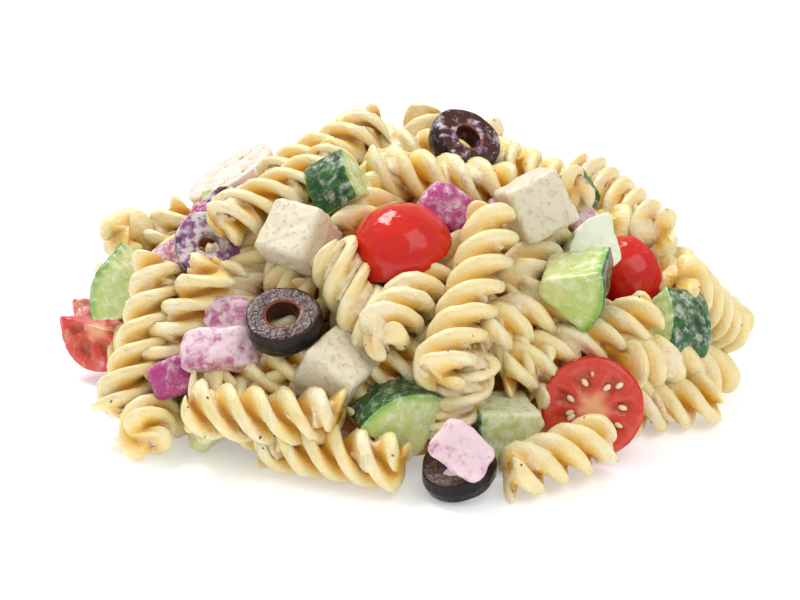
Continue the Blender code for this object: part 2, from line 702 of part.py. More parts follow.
def core_mesh():
    """The bare core under the pieces."""
    mesh = bmesh.new()
    bmesh.ops.create_uvsphere(mesh, u_segments=CORE_SEGMENTS, v_segments=CORE_RINGS, radius=1.0)
    reach = np.array([HEAP_HALF_WIDTH, HEAP_HALF_DEPTH, HEAP_HEIGHT]) - CORE_INSET
    for vert in mesh.verts:
        vert.co = on_heap(np.array(vert.co)) * reach
    parts = mesh.verts[:] + mesh.edges[:] + mesh.faces[:]
    bmesh.ops.bisect_plane(mesh, geom=parts, plane_co=(0, 0, 0), plane_no=(0, 0, -1), clear_outer=True)
    bmesh.ops.holes_fill(mesh, edges=mesh.edges[:])
    bmesh.ops.triangulate(mesh, faces=mesh.faces[:])
    return mesh


def tree_of(made):
    """A search tree of an object's faces, in world space."""
    data = made.data
    points = [made.matrix_world @ v.co for v in data.vertices]
    return BVHTree.FromPolygons(points, [list(p.vertices) for p in data.polygons])


def overlaps_any(tree, others):
    return any(tree.overlap(other) for other in others)


def still_loose(waiting, touching):
    """The twists that no chain of others joins to the core; the rest are added to touching."""
    while True:
        loose = []
        for strand, made in waiting:
            tree = tree_of(made)
            if overlaps_any(tree, touching):
                touching.append(tree)
            else:
                loose.append((strand, made))
        if len(loose) == len(waiting):
            return loose
        waiting = loose


def pressed_in(strand, made, touching):
    """Presses a twist into the heap until it touches; False if that takes it too deep."""
    inward = -heap_normal(strand.middle, LAY_INSET)
    for _ in range(MOST_PRESS_STEPS):
        strand.middle = strand.middle + PRESS_STEP * inward
        made.matrix_world.translation = Vector(strand.middle * MM)
        bpy.context.view_layer.update()
        tree = tree_of(made)
        if overlaps_any(tree, touching):
            touching.append(tree)
            return True
    return False


def seat_mesh(hull):
    """A topping's convex hull, grown by the clearance, to cut its seat in the core."""
    mesh = bmesh.new()
    for corner in hull.corners:
        mesh.verts.new(corner)
    made = bmesh.ops.convex_hull(mesh, input=mesh.verts[:])
    inside = [g for g in made["geom_interior"] if isinstance(g, bmesh.types.BMVert)]
    bmesh.ops.delete(mesh, geom=inside, context="VERTS")
    bmesh.ops.recalc_face_normals(mesh, faces=mesh.faces[:])
    mesh.normal_update()
    for vert in mesh.verts:
        vert.co += SEAT_ROOM * CLEARANCE * vert.normal
    return mesh


def use_boolean(core, pieces, operation):
    """Cuts the pieces of a collection out of the core, or fuses them on, and removes them."""
    boolean = core.modifiers.new(operation, "BOOLEAN")
    boolean.operand_type = "COLLECTION"
    boolean.collection = pieces
    boolean.operation = operation
    boolean.solver = "MANIFOLD"
    bpy.context.view_layer.update()
    graph = bpy.context.evaluated_depsgraph_get()
    fused = bpy.data.meshes.new_from_object(core.evaluated_get(graph))
    core.modifiers.clear()
    core.data = fused
    for piece in list(pieces.objects):
        bpy.data.objects.remove(piece)
    bpy.data.collections.remove(pieces)


def keep_one_body(made):
    """Fills the hollows that fusing sealed, and drops what it left loose."""
    mesh = bmesh.new()
    mesh.from_mesh(made.data)
    left, bodies = set(mesh.faces), []
    while left:
        body, edge_of_body = set(), [left.pop()]
        while edge_of_body:
            face = edge_of_body.pop()
            body.add(face)
            near = {f for e in face.edges for f in e.link_faces} - body
            edge_of_body.extend(near & left)
            left -= near
        bodies.append(body)
    bodies.sort(key=len)
    for body in bodies[:-1]:
        bmesh.ops.delete(mesh, geom=list(body), context="FACES")
    mesh.to_mesh(made.data)
    mesh.free()


def build():
    for old in list(bpy.data.objects):
        bpy.data.objects.remove(old)
    salad = add_collection("pasta_salad")
    pieces = add_collection("twists")
    seats = add_collection("seats")

    draw = random.Random(SEED)
    hulls = [Hull(topping) for topping in TOPPINGS]
    part_all_hulls(hulls)
    strands = [placed_strand(twist) for twist in TWISTS]
    strands += back_strands(draw)
    settle(strands, hulls)
    part_all_hulls(hulls)
    strands = [s for s in strands if shortened_to_fit(s, hulls)]

    for hull in hulls:
        add_topping(hull, salad)
    core = add_object("pasta", core_mesh(), "pasta", salad)
    twists = [(strand, add_twist(strand, pieces, draw)) for strand in strands]
    bpy.context.view_layer.update()
    touching = [tree_of(core)]
    for strand, made in still_loose(twists, touching):
        if not pressed_in(strand, made, touching):
            bpy.data.objects.remove(made)
    use_boolean(core, pieces, "UNION")
    for hull in hulls:
        add_object("seat_" + hull.topping.name, seat_mesh(hull), "pasta", seats)
    use_boolean(core, seats, "DIFFERENCE")
    keep_one_body(core)


if __name__ == "__main__":
    build()
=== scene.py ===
"""The looks of a heap of pasta salad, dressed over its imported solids.

Right-handed three-flight pasta twists, halved tomatoes, cucumber chunks, cheese cubes, olive rings
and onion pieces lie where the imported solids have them: the placing is worked out here again, by the
same rules, sizes and random draws, in millimetres. Each piece is then built in full detail.
"""

import math
import random
from dataclasses import dataclass

import bmesh
import bpy
import numpy as np
from mathutils import Matrix, Vector

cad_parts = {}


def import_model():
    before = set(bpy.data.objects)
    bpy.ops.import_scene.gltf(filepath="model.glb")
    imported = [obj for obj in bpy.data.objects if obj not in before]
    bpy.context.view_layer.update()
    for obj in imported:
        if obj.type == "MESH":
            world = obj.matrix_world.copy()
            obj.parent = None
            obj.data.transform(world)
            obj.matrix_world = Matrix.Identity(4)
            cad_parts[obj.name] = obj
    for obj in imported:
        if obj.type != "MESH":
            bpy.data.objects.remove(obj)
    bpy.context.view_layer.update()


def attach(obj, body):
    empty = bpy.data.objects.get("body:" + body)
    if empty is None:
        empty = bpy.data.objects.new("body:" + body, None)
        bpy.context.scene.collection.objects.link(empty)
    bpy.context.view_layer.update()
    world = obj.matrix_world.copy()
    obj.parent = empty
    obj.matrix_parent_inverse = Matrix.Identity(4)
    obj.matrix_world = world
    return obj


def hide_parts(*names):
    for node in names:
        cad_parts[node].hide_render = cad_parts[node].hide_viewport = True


MM = 0.001
UPWARD = np.array([0.0, 0.0, 1.0])

# The heap, to the outside of its pasta
HEAP_HALF_WIDTH = 85.0
HEAP_HALF_DEPTH = 76.0
HEAP_HEIGHT = 64.5
HEAP_ROUNDNESS = 1.8  # 2 is an ellipsoid, 1 a cone

# One pasta twist
TWIST_RADIUS = 6.79
TWIST_ROOM = 6.3  # the radius that the pieces keep free for a twist, whose flights give a little
TWIST_PITCH = 20.0
FLIGHTS = 3
FLIGHT_OUTLINE = ((0, 0.5), (64, 1.0))  # degrees round the axis, share of the radius
SPANS_PER_TURN = 6
END_TAPER = 0.86

# How the pieces lie
LAY_INSET = 7.0  # the middles of the outer twists lie this far in
CORE_INSET = 10.5
DEEPEST_INSET = 10.0  # the twists' axes lie no deeper than this
CLEARANCE = 0.4  # free space round each topping
PRESSED = 2.0  # how far a topping may press into the soft flights of a twist
MOST_TRIMMED = 1.5  # a twist that reaches further than this past the pressed flights is shortened
NEST_DISTANCE = 6.8  # least distance between two twists' axes, flight in groove
SAMPLES = 9  # points along each twist that are looked at
SHARES = np.linspace(-0.5, 0.5, SAMPLES)
TOUCHING_DISTANCE = 7.2  # two twists whose axes are this close are joined
CORE_GRIP = 3.4  # a twist whose axis is this close to the core is joined to it
DRAWN_IN = 0.8  # how far a loose twist goes towards the others in each round
SIDEWAYS_COST = 3.0  # a piece that makes room moves along the line of sight rather than across it
SETTLING_ROUNDS = 60
FREE_ROUNDS = 20  # the last rounds, in which nothing draws the pieces back to where they were seen
HOMING = 0.08
TWISTS_GIVE_WAY = 0.85  # the share of the room between a twist and a topping that the twist makes
SHORTEST_TWIST = 16.0
SAG = 0.05  # how much harder a piece that stands out further than it was seen is drawn back
GAVE_WAY = 0.02  # a little more than the clearance, so that rounding keeps it
# Rows of twists round the back: the height of each, how many, their steepest angle, and the degrees
# round the heap, from its right, at which the row begins and ends
BACK_ROWS = ((8.0, 5, 0.3, 0, 165), (27.0, 5, 1.5, 0, 180), (45.0, 2, 1.5, 20, 100))
BACK_LENGTH = 36.0

# The view that the places are read from
VIEW_DISTANCE = 800.0
VIEW_ELEVATION = math.radians(22)

SEED = 7


@dataclass
class Twist:
    """One pasta twist: its middle as seen, the way its head points as seen, and its real length."""

    name: str
    across: float
    up: float
    heading: float
    length: float
    lift: float = 0.0  # out of the heap, from where the outer twists lie
    rise: float = 0.0  # degrees that its head stands out of the heap's surface
    side: float = 0.0  # degrees round the heap to where it is seen from
    give: float = 1.0  # how readily it makes room
    square: float = 0.0  # the share by which it is turned off the heap, square to the view


@dataclass
class Topping:
    """One topping, or a twist that lies loose: its middle, and the ways that its face and top point.

    face and top are (right, up, towards the viewer) as seen, and top is squared to face.
    """

    name: str
    kind: str
    across: float
    up: float
    face: tuple
    top: tuple = (0, 1, 0)
    size: tuple = ()
    lift: float = 0.0
    side: float = 0.0


TWISTS = (
    Twist("front_low", -15.0, -25.5, -7, 35, lift=3),
    Twist("front_mid", -36.0, -8.0, 2, 36, lift=7, give=0.4),
    Twist("left_outer", -65.0, 7.0, 68, 39, lift=2),
    Twist("left_inner", -51.0, 10.5, 62, 30, lift=3),
    Twist("left_end", -60.0, -10.5, -55, 28, lift=2, rise=45),
    Twist("back_left", -60.0, 32.0, 36, 29, square=0.7),
    Twist("up_left", -26.5, 43.0, 207, 38, lift=3),
    Twist("up_left_top", -15.5, 51.5, 205, 34, lift=-1),
    Twist("crown_left", -10.5, 57.0, 52, 26, lift=-2),
    Twist("crown_front", 11.0, 48.5, -9, 36, give=0.5),
    Twist("crown_blade", 7.5, 56.5, 75, 20, square=0.6),
    Twist("crown_back", 0.0, 54.5, 0, 30, lift=-4),
    Twist("crown_right", 34.5, 48.0, -27, 29, lift=-2),
    Twist("slope_high", 53.5, 38.5, -48, 36),
    Twist("slope_mid", 65.5, 26.0, -44, 36, lift=1),
    Twist("slope_low", 73.0, 14.0, -38, 36),
    Twist("right_end", 67.5, 0.5, -12, 38, lift=2),
    Twist("right_low", 65.0, -14.0, -8, 28, lift=1),
    Twist("right_mid", 45.0, 7.0, 25, 42, lift=3),
    Twist("right_short", 36.0, 27.5, 35, 28, lift=-2),
    Twist("right_under", 32.0, 12.0, 22, 28, lift=-2),
    Twist("middle_upright", 19.0, 18.5, 70, 47, lift=6),
    Twist("middle_low", 14.5, -8.0, 82, 23),
    Twist("middle_left", -12.5, 18.5, 119, 25, lift=2, give=0.5),
    Twist("middle_broken", 0.0, 18.0, 55, 27, lift=4),
    Twist("left_middle", -35.5, 28.5, 12, 28),
)

TOPPINGS = (
    Topping("tomato_crown", "tomato_half", 2.5, 28.8, (0.3, -0.8, -0.5), size=(12.3,), lift=-2),
    Topping("tomato_front", "tomato_half", 45.5, -9.5, (-0.05, -0.12, 0.99), size=(11.9,), lift=2),
    Topping("tomato_right", "tomato_half", 57.5, 24.5, (0.55, 0.2, -0.8), size=(9.8,), lift=-3),
    Topping("tomato_left", "tomato_quarter", -75.0, 11.0, (-0.55, -0.1, 0.83), (0.1, 1.0, 0.3), (11.5,)),
    Topping("tomato_back_left", "tomato_half", -42.0, 50.0, (-0.5, 0.8, 0.33), size=(12.0,), lift=3),
    Topping("tomato_far_left", "tomato_quarter", -73.0, 18.0, (-0.3, 0.5, 0.8), size=(9.0,), lift=-4),
    Topping("tomato_sunk", "tomato_quarter", -12.5, -12.5, (0.1, 0.3, 0.95), size=(7.0,), lift=-1),
    Topping(
        "cucumber_top", "cucumber", -16.8, 40.5, (0.8, 0.45, 0.35), (-0.35, 0.35, 0.85), (14, 62, 11), 1
    ),
    Topping(
        "cucumber_left", "cucumber", -66.5, 20.5, (-0.2, -0.35, 0.9), (-0.85, 0.35, -0.25), (16, 62, 15)
    ),
    Topping(
        "cucumber_front", "cucumber", 0.5, -13.5, (0.25, -0.35, 0.9), (-0.25, 0.85, 0.45), (15.5, 88, 12), -2
    ),
    Topping(
        "cucumber_low", "cucumber", 27.0, -13.5, (0.3, -0.4, 0.86), (-0.85, -0.45, 0.1), (15.5, 70, 14), -1
    ),
    Topping(
        "cucumber_right", "cucumber", 45.5, 19.0, (-0.2, -0.5, 0.84), (0.9, 0.1, -0.5), (15.5, 66, 14), 5
    ),
    Topping(
        "cucumber_coated", "cucumber", 45.3, 32.0, (0.3, 0.25, 0.9), (-0.7, 0.6, 0.1), (12.5, 95, 9), 0
    ),
    Topping(
        "cucumber_peek", "cucumber", 42.5, 43.5, (-0.5, 0.7, 0.3), (0.65, 0.1, 0.75), (12.5, 60, 11), -2
    ),
    Topping(
        "cucumber_slope", "cucumber", 67.5, 11.5, (-0.75, 0.15, 0.6), (0.55, 0.2, 0.8), (15, 66, 13), 2
    ),
    Topping("cucumber_far", "cucumber", 59.5, 37.5, (-0.2, 0.2, 0.95), (0.5, 0.8, 0.0), (11, 80, 7), 0),
    Topping(
        "cucumber_corner", "cucumber", -49.5, -17.5, (0.35, 0.45, 0.8), (0.2, 0.75, -0.55), (12.5, 75, 13), -3
    ),
    Topping("cucumber_bit", "cucumber", -45.5, 40.5, (-0.2, 0.3, 0.9), (0.4, 0.9, 0.0), (7.5, 80, 6), -2),
    Topping("cheese_left", "cheese", -20.5, 37.0, (-0.4, 0.45, 0.8), (0.35, 0.9, -0.2), (13.8,), 2),
    Topping("cheese_right", "cheese", 38.5, 35.2, (0.25, -0.1, 0.96), (-0.42, 0.88, 0.2), (13.8,), 2),
    Topping("cheese_front", "cheese", -12.3, -3.3, (0.35, 0.6, 0.72), (0.75, -0.6, 0.1), (14.0,), 3),
    Topping("olive_front", "olive", -28.0, 12.0, (-0.08, 0.68, 0.73), size=(9.1, 0.42), lift=5),
    Topping("olive_top", "olive", 17.2, 54.4, (0.43, 0.55, 0.72), size=(9.0, 0.36), lift=11),
    Topping("olive_left", "olive", -47.3, 30.5, (0.12, 0.22, 0.97), size=(8.3, 0.3), lift=3),
    Topping("olive_low", "olive", 14.2, -21.5, (-0.2, 0.72, 0.66), size=(8.7,), lift=9),
    Topping("olive_peek", "olive", -41.0, 38.0, (0.5, 0.6, 0.6), size=(7.5,), lift=-5),
    Topping("onion_olive_side", "onion", -42.0, 13.5, (-0.1, 0.3, 0.95), size=(11, 9, 4.5)),
    Topping("onion_block", "onion", -44.5, 4.0, (0.0, 0.35, 0.93), (-0.05, 1, 0), (18, 10, 6.5), 3),
    Topping("onion_bright", "onion", -54.3, -3.3, (-0.1, -0.1, 0.99), (-0.45, 0.9, 0), (11.5, 9, 6), 5),
    Topping("onion_crown", "onion", 12.8, 39.0, (0.2, 0.2, 0.95), (0.55, 0.85, 0), (14.5, 10, 6), 2),
    Topping("onion_cheese_side", "onion", 47.0, 38.0, (0.2, 0.3, 0.9), size=(6, 7, 4.5)),
    Topping("onion_under_cheese", "onion", 42.0, 31.0, (0.1, -0.2, 0.95), size=(10, 5.5, 4.5), lift=-5),
    Topping("onion_left_back", "onion", -55.0, 27.5, (-0.2, 0.3, 0.93), (-0.5, 0.85, 0), (11, 9, 5)),
    Topping("onion_olive_top", "onion", -48.5, 37.5, (-0.4, 0.5, 0.75), (-0.7, 0.7, 0), (11, 6, 4)),
    Topping("onion_bit", "onion", 26.3, 41.5, (0.1, 0.4, 0.9), size=(6, 4, 4)),
    Topping("onion_on_olive", "onion", 17.0, -22.0, (0.1, 0.1, 0.98), (0.6, 0.8, 0), (14, 10, 5.5), 15),
    Topping("loose_twist", "twist", 39.3, -21.8, (0.82, 0.3, -0.48), size=(28,), lift=10),
    Topping("tomato_behind", "tomato_half", -20.0, 18.0, (0.2, 0.3, 0.93), size=(12.0,), lift=4, side=180),
    Topping(
        "cucumber_behind", "cucumber", 14.0, 18.0, (-0.3, 0.4, 0.9), (0.7, 0.6, 0.3), (16, 75, 12), 0, 180
    ),
    Topping("cheese_behind", "cheese", -40.0, 6.0, (-0.3, 0.5, 0.8), (0.4, 0.8, -0.2), (15.0,), side=180),
    Topping("olive_behind", "olive", 0.0, 12.0, (0.2, 0.5, 0.84), size=(9.0,), lift=3, side=180),
    Topping(
        "onion_behind", "onion", -10.0, 2.0, (0.1, 0.3, 0.95), (0.5, 0.8, 0), (14, 10, 5.5), 3, side=180
    ),
)


def unit(vector):
    return vector / np.linalg.norm(vector)


def view_basis(side):
    """The right, up and towards-the-viewer directions of the view from this side of the heap."""
    turn = math.radians(side)
    right = np.array([math.cos(turn), math.sin(turn), 0.0])
    ahead = np.array([-math.sin(turn), math.cos(turn), 0.0])
    level, climb = math.cos(VIEW_ELEVATION), math.sin(VIEW_ELEVATION)
    up = climb * ahead + np.array([0.0, 0.0, level])
    towards = -level * ahead + np.array([0.0, 0.0, climb])
    return right, up, towards


def heap_level(point, inset):
    """Under 1 inside the heap's surface moved in by inset, and over 1 outside it."""
    x, y, z = (
        abs(point[0]) / (HEAP_HALF_WIDTH - inset),
        abs(point[1]) / (HEAP_HALF_DEPTH - inset),
        max(point[2], 0.0) / (HEAP_HEIGHT - inset),
    )
    return math.hypot(x, y) ** HEAP_ROUNDNESS + z**HEAP_ROUNDNESS


def heap_normal(point, inset):
    """The outward normal of the heap's surface near this point."""
    step = 0.05
    slope = [
        heap_level(point + step * axis, inset) - heap_level(point - step * axis, inset)
        for axis in np.eye(3)
    ]
    slope[2] = max(slope[2], 0.0)
    return unit(np.array(slope))


def on_heap(way):
    """The point of the heap's surface in this direction, in shares of its half sizes."""
    flat, tall = math.hypot(way[0], way[1]), abs(way[2])
    return way * (flat**HEAP_ROUNDNESS + tall**HEAP_ROUNDNESS) ** (-1 / HEAP_ROUNDNESS)


def dropped_on_heap(side, across, up, inset=LAY_INSET):
    """Where the line of sight to (across, up) first meets the heap, or passes nearest to it."""
    right, rise, towards = view_basis(side)
    eye = VIEW_DISTANCE * towards
    sight = unit(across * right + up * rise - eye)
    reach = np.linspace(VIEW_DISTANCE - 1.3 * HEAP_HALF_WIDTH, VIEW_DISTANCE + HEAP_HALF_WIDTH, 400)
    reach = [t for t in reach if (eye + t * sight)[2] >= 0.0]
    levels = [heap_level(eye + t * sight, inset) for t in reach]
    inside = [t for t, level in zip(reach, levels) if level <= 1.0]
    nearest = inside[0] if inside else reach[int(np.argmin(levels))]
    return eye + nearest * sight, sight


def shift_for(push, amount, sight):
    """The shift that moves a piece by amount along push, mostly along the line of sight."""
    ahead = (push @ sight) * sight
    across = (push - ahead) / SIDEWAYS_COST
    return amount * (ahead + across) / (push @ (ahead + across))


class Strand:
    """A pasta twist's axis, in millimetres, which settling may move and shorten."""

    def __init__(self, name, middle, along, length, sight, give=1.0):
        self.name = name
        self.middle = middle
        self.along = unit(along)
        self.length = length
        self.sight = sight
        self.give = give
        self.home = (middle.copy(), self.along.copy())

    def points(self, count):
        """Points along the axis, as rows."""
        steps = np.linspace(-0.5, 0.5, count) * self.length
        return self.middle + steps[:, None] * self.along

    def push(self, where, direction, amount):
        """Makes room at where, from -0.5 to 0.5 along the strand, by amount along direction."""
        shift = shift_for(direction, amount * self.give, self.sight)
        self.middle = self.middle + 0.75 * shift
        self.along = unit(self.along + 2.0 * where * shift / self.length)


def placed_strand(twist):
    """The strand of a twist as it is seen, lying on the heap."""
    point, sight = dropped_on_heap(twist.side, twist.across, twist.up)
    right, up, _ = view_basis(twist.side)
    angle = math.radians(twist.heading)
    seen = math.cos(angle) * right + math.sin(angle) * up
    normal = heap_normal(point, LAY_INSET)
    along = unit(np.cross(np.cross(sight, seen), normal))
    if along @ seen < 0:
        along = -along
    along = unit((1.0 - twist.square) * along + twist.square * seen)
    rise = math.radians(twist.rise)
    along = math.cos(rise) * along + math.sin(rise) * normal
    return Strand(twist.name, point - twist.lift * sight, along, twist.length, sight, twist.give)


def topping_matrix(topping, shift):
    """Turns a topping's own frame, face +Z and top +Y, into its place on the heap, in metres."""
    basis = np.array(view_basis(topping.side))
    point, sight = dropped_on_heap(topping.side, topping.across, topping.up)
    point = point - topping.lift * sight + shift
    face = unit(np.array(topping.face) @ basis)
    top = np.array(topping.top) @ basis
    top = unit(top - (top @ face) * face)
    matrix = Matrix(np.column_stack([np.cross(top, face), top, face])).to_4x4()
    matrix.translation = Vector(point * MM)
    return matrix


def tomato_mesh(radius, cuts):
    """A ball of that radius with a flat cut face for each outward direction in cuts."""
    mesh = bmesh.new()
    bmesh.ops.create_uvsphere(mesh, u_segments=12, v_segments=6, radius=radius)
    for direction in cuts:
        parts = mesh.verts[:] + mesh.edges[:] + mesh.faces[:]
        bmesh.ops.bisect_plane(mesh, geom=parts, plane_co=(0, 0, 0), plane_no=direction, clear_outer=True)
        bmesh.ops.holes_fill(mesh, edges=mesh.edges[:])
    return mesh


def cucumber_mesh(radius, angle, thickness):
    """A sector of a cucumber slice, its skin towards +Y, centred between its tip and its skin."""
    mesh = bmesh.new()
    steps = 5
    angles = [math.radians(90 + angle * (i / steps - 0.5)) for i in range(steps + 1)]
    tip = radius * 0.12
    outline = [(-tip, 0.0), (tip, 0.0)] + [(radius * math.cos(a), radius * math.sin(a)) for a in angles]
    corners = [mesh.verts.new((x, y - radius / 2, -thickness / 2)) for x, y in outline]
    floor = mesh.faces.new(corners)
    grown = bmesh.ops.extrude_face_region(mesh, geom=[floor])["geom"]
    top = [v for v in grown if isinstance(v, bmesh.types.BMVert)]
    bmesh.ops.translate(mesh, verts=top, vec=(0, 0, thickness))
    bmesh.ops.recalc_face_normals(mesh, faces=mesh.faces[:])
    return mesh


def cheese_mesh(side):
    """A soft-edged cube of cheese."""
    mesh = bmesh.new()
    bmesh.ops.create_cube(mesh, size=side)
    bmesh.ops.bevel(mesh, geom=mesh.edges[:], offset=0.12 * side, segments=1, affect="EDGES")
    return mesh


def olive_mesh(radius, hole_share=0.5):
    """A ring cut across a pitted olive, round its +Z axis."""
    hole, half = hole_share * radius, 0.3 * radius
    profile = [(0.94 * radius, half), (radius, 0.0), (0.94 * radius, -half), (hole, -half), (hole, half)]
    mesh = bmesh.new()
    ring = [mesh.verts.new((x, 0.0, z)) for x, z in profile]
    edges = [mesh.edges.new((a, b)) for a, b in zip(ring, ring[1:] + ring[:1])]
    steps = 12
    bmesh.ops.spin(
        mesh, geom=ring + edges, cent=(0, 0, 0), axis=(0, 0, 1), angle=math.tau, steps=steps, use_merge=True
    )
    bmesh.ops.remove_doubles(mesh, verts=mesh.verts[:], dist=1e-4)
    bmesh.ops.recalc_face_normals(mesh, faces=mesh.faces[:])
    return mesh


def onion_mesh(width, height, thickness):
    """A chopped piece of onion layer: a small slab, bowed outwards on its +Z side."""
    mesh = bmesh.new()
    bmesh.ops.create_cube(mesh, size=1.0)
    bmesh.ops.subdivide_edges(mesh, edges=mesh.edges[:], cuts=1, use_grid_fill=True)
    bow = 0.12 * width
    for vert in mesh.verts:
        x, y, z = vert.co
        round_off = 1.0 - 0.28 * (abs(2 * x * 2 * y)) - 0.10 * abs(2 * z)
        dome = bow * (1.0 - (2 * x) ** 2 * 0.7 - (2 * y) ** 2 * 0.3)
        vert.co = (x * width * round_off, y * height * round_off, z * thickness + dome - 0.5 * bow)
    return mesh


def twist_mesh(length):
    """A pasta twist round +Z: a star-shaped section, turned a step further with each extrusion."""
    spans = max(3, round(SPANS_PER_TURN * length / TWIST_PITCH))
    step = length / spans
    mesh = bmesh.new()
    rim = []
    for flight in range(FLIGHTS):
        for degrees, share in FLIGHT_OUTLINE:
            angle = math.radians(degrees + flight * 360 / FLIGHTS)
            radius = share * TWIST_RADIUS
            rim.append(mesh.verts.new((radius * math.cos(angle), radius * math.sin(angle), -length / 2)))
    start = mesh.faces.new(rim)
    bmesh.ops.spin(
        mesh,
        geom=rim + list(start.edges) + [start],
        cent=(0, 0, 0),
        axis=(0, 0, 1),
        dvec=(0, 0, step),
        angle=math.tau * length / TWIST_PITCH,
        steps=spans,
    )
    for vert in mesh.verts:
        if abs(vert.co.z) > length / 2 - 0.5 * step:
            vert.co.xy *= END_TAPER
    bmesh.ops.recalc_face_normals(mesh, faces=mesh.faces[:])
    bmesh.ops.triangulate(mesh, faces=mesh.faces[:])
    return mesh


SHAPES = {
    "tomato_half": lambda size: tomato_mesh(size[0], [(0, 0, 1)]),
    "tomato_quarter": lambda size: tomato_mesh(size[0], [(0, 0, 1), (0, 1, 0)]),
    "cucumber": lambda size: cucumber_mesh(*size),
    "cheese": lambda size: cheese_mesh(*size),
    "olive": lambda size: olive_mesh(*size),
    "onion": lambda size: onion_mesh(*size),
    "twist": lambda size: twist_mesh(*size),
}

class Hull:
    """The convex hull of a topping: its corners and its faces' planes, in millimetres."""

    def __init__(self, topping):
        mesh = SHAPES[topping.kind](topping.size)
        turned = topping_matrix(topping, np.zeros(3))
        bmesh.ops.scale(mesh, vec=(MM, MM, MM), verts=mesh.verts[:])
        bmesh.ops.transform(mesh, matrix=turned, verts=mesh.verts[:])
        made = bmesh.ops.convex_hull(mesh, input=mesh.verts[:])
        faces = [f for f in made["geom"] if isinstance(f, bmesh.types.BMFace)]
        corners = {v for f in faces for v in f.verts}
        self.corners = np.array([v.co for v in corners]) / MM
        centre = self.corners.mean(axis=0)
        normals = np.array([f.normal for f in faces])
        places = np.array([f.calc_center_median() for f in faces]) / MM
        outward = np.sign(((places - centre) * normals).sum(axis=1))
        self.normals = normals * outward[:, None]
        self.places = places
        self.topping = topping
        self.sight = dropped_on_heap(topping.side, topping.across, topping.up)[1]
        self.shift = np.zeros(3)
        self.move(self.shift)
        self.reach = np.linalg.norm(self.corners - centre, axis=1).max()
        mesh.free()

    def centre(self):
        return self.corners.mean(axis=0)

    def move(self, shift):
        self.shift = self.shift + shift
        self.corners = self.corners + shift
        self.places = self.places + shift
        self.levels = (self.places * self.normals).sum(axis=1)

    def push(self, direction, amount):
        """Makes room by amount along direction."""
        self.move(shift_for(direction, amount, self.sight))

    def outside(self, points):
        """For each point, how far it is outside the hull by its planes, and the plane that says so."""
        heights = points @ self.normals.T - self.levels
        best = heights.argmax(axis=1)
        return heights[np.arange(len(points)), best], best


def parting_of(one, other):
    """The widest gap between two hulls across a face of either, and its direction from one to other."""
    best = (-1e9, None)
    for near, far, sign in ((one, other, 1.0), (other, one, -1.0)):
        heights = far.corners @ near.normals.T - (near.places * near.normals).sum(axis=1)
        lowest = heights.min(axis=0)
        face = int(lowest.argmax())
        if lowest[face] > best[0]:
            best = (lowest[face], sign * near.normals[face])
    return best


def part_hulls(one, other):
    """Moves two toppings apart where they would cross."""
    if np.linalg.norm(one.centre() - other.centre()) > one.reach + other.reach + 1.0:
        return
    gap, direction = parting_of(one, other)
    if gap < CLEARANCE:
        amount = 0.5 * (CLEARANCE + GAVE_WAY - gap)
        one.push(-direction, amount)
        other.push(direction, amount)


def nearest_points(one, other):
    """The nearest points of two strands, each as its share from -0.5 to 0.5, and the gap vector."""
    gaps = other.points(SAMPLES)[None, :, :] - one.points(SAMPLES)[:, None, :]
    i, j = np.unravel_index((gaps**2).sum(axis=2).argmin(), (SAMPLES, SAMPLES))
    return SHARES[i], SHARES[j], gaps[i, j]


def part_strands(one, other):
    """Moves two twists apart where they lie closer than flight in groove."""
    if np.linalg.norm(one.middle - other.middle) > 0.5 * (one.length + other.length) + NEST_DISTANCE:
        return
    here, there, gap = nearest_points(one, other)
    distance = np.linalg.norm(gap)
    if 1e-6 < distance < NEST_DISTANCE:
        amount = 0.25 * (NEST_DISTANCE - distance)
        one.push(here, -gap / distance, amount)
        other.push(there, gap / distance, amount)


def overreach(strand, hull):
    """How far a strand reaches into a topping's free space, where along it, and the way out."""
    if np.linalg.norm(strand.middle - hull.centre()) > 0.5 * strand.length + hull.reach + TWIST_ROOM + 1.0:
        return -1.0, 0.0, UPWARD
    heights, faces = hull.outside(strand.points(SAMPLES))
    k = int(heights.argmin())
    return TWIST_ROOM - PRESSED - heights[k], SHARES[k], hull.normals[faces[k]]


def part_strand_and_hull(strand, hull):
    """Moves a twist and a topping apart where they would cross."""
    amount, where, way_out = overreach(strand, hull)
    if amount > 0:
        strand.push(where, way_out, TWISTS_GIVE_WAY * amount)
        hull.push(-way_out, (1.0 - TWISTS_GIVE_WAY) * amount)


def keep_above_floor(piece, lowest_allowed, where_and_height):
    """Lifts a piece whose lowest points would sink below the floor."""
    for where, height in where_and_height:
        low = lowest_allowed - height
        if low > 0:
            piece.push(*where, UPWARD, low)


def draw_in_loose(strands):
    """Moves each twist that no chain of others joins to the core towards one that is joined."""
    joined = [s for s in strands if min(heap_level(p, CORE_INSET - CORE_GRIP) for p in s.points(5)) < 1]
    loose = [s for s in strands if s not in joined]
    found = True
    while found:
        found = False
        for strand in list(loose):
            gaps = [nearest_points(strand, other)[2] for other in joined]
            if min(np.linalg.norm(gap) for gap in gaps) < TOUCHING_DISTANCE:
                joined.append(strand)
                loose.remove(strand)
                found = True
    for strand in loose:
        strand.middle = strand.middle - DRAWN_IN * heap_normal(strand.middle, LAY_INSET)
    return loose


def keep_out_of_core(strand):
    """Moves a strand out that lies too deep in the heap for its twist to show."""
    if heap_level(strand.middle, DEEPEST_INSET) < 1.0:
        strand.push(0.0, heap_normal(strand.middle, DEEPEST_INSET), 0.5)


def drawn_back(moved, sight, homing, sag):
    """The shift that draws a piece back to where it was seen, harder when it has moved outwards."""
    return -homing * moved + sag * max(0.0, -moved @ sight) * sight


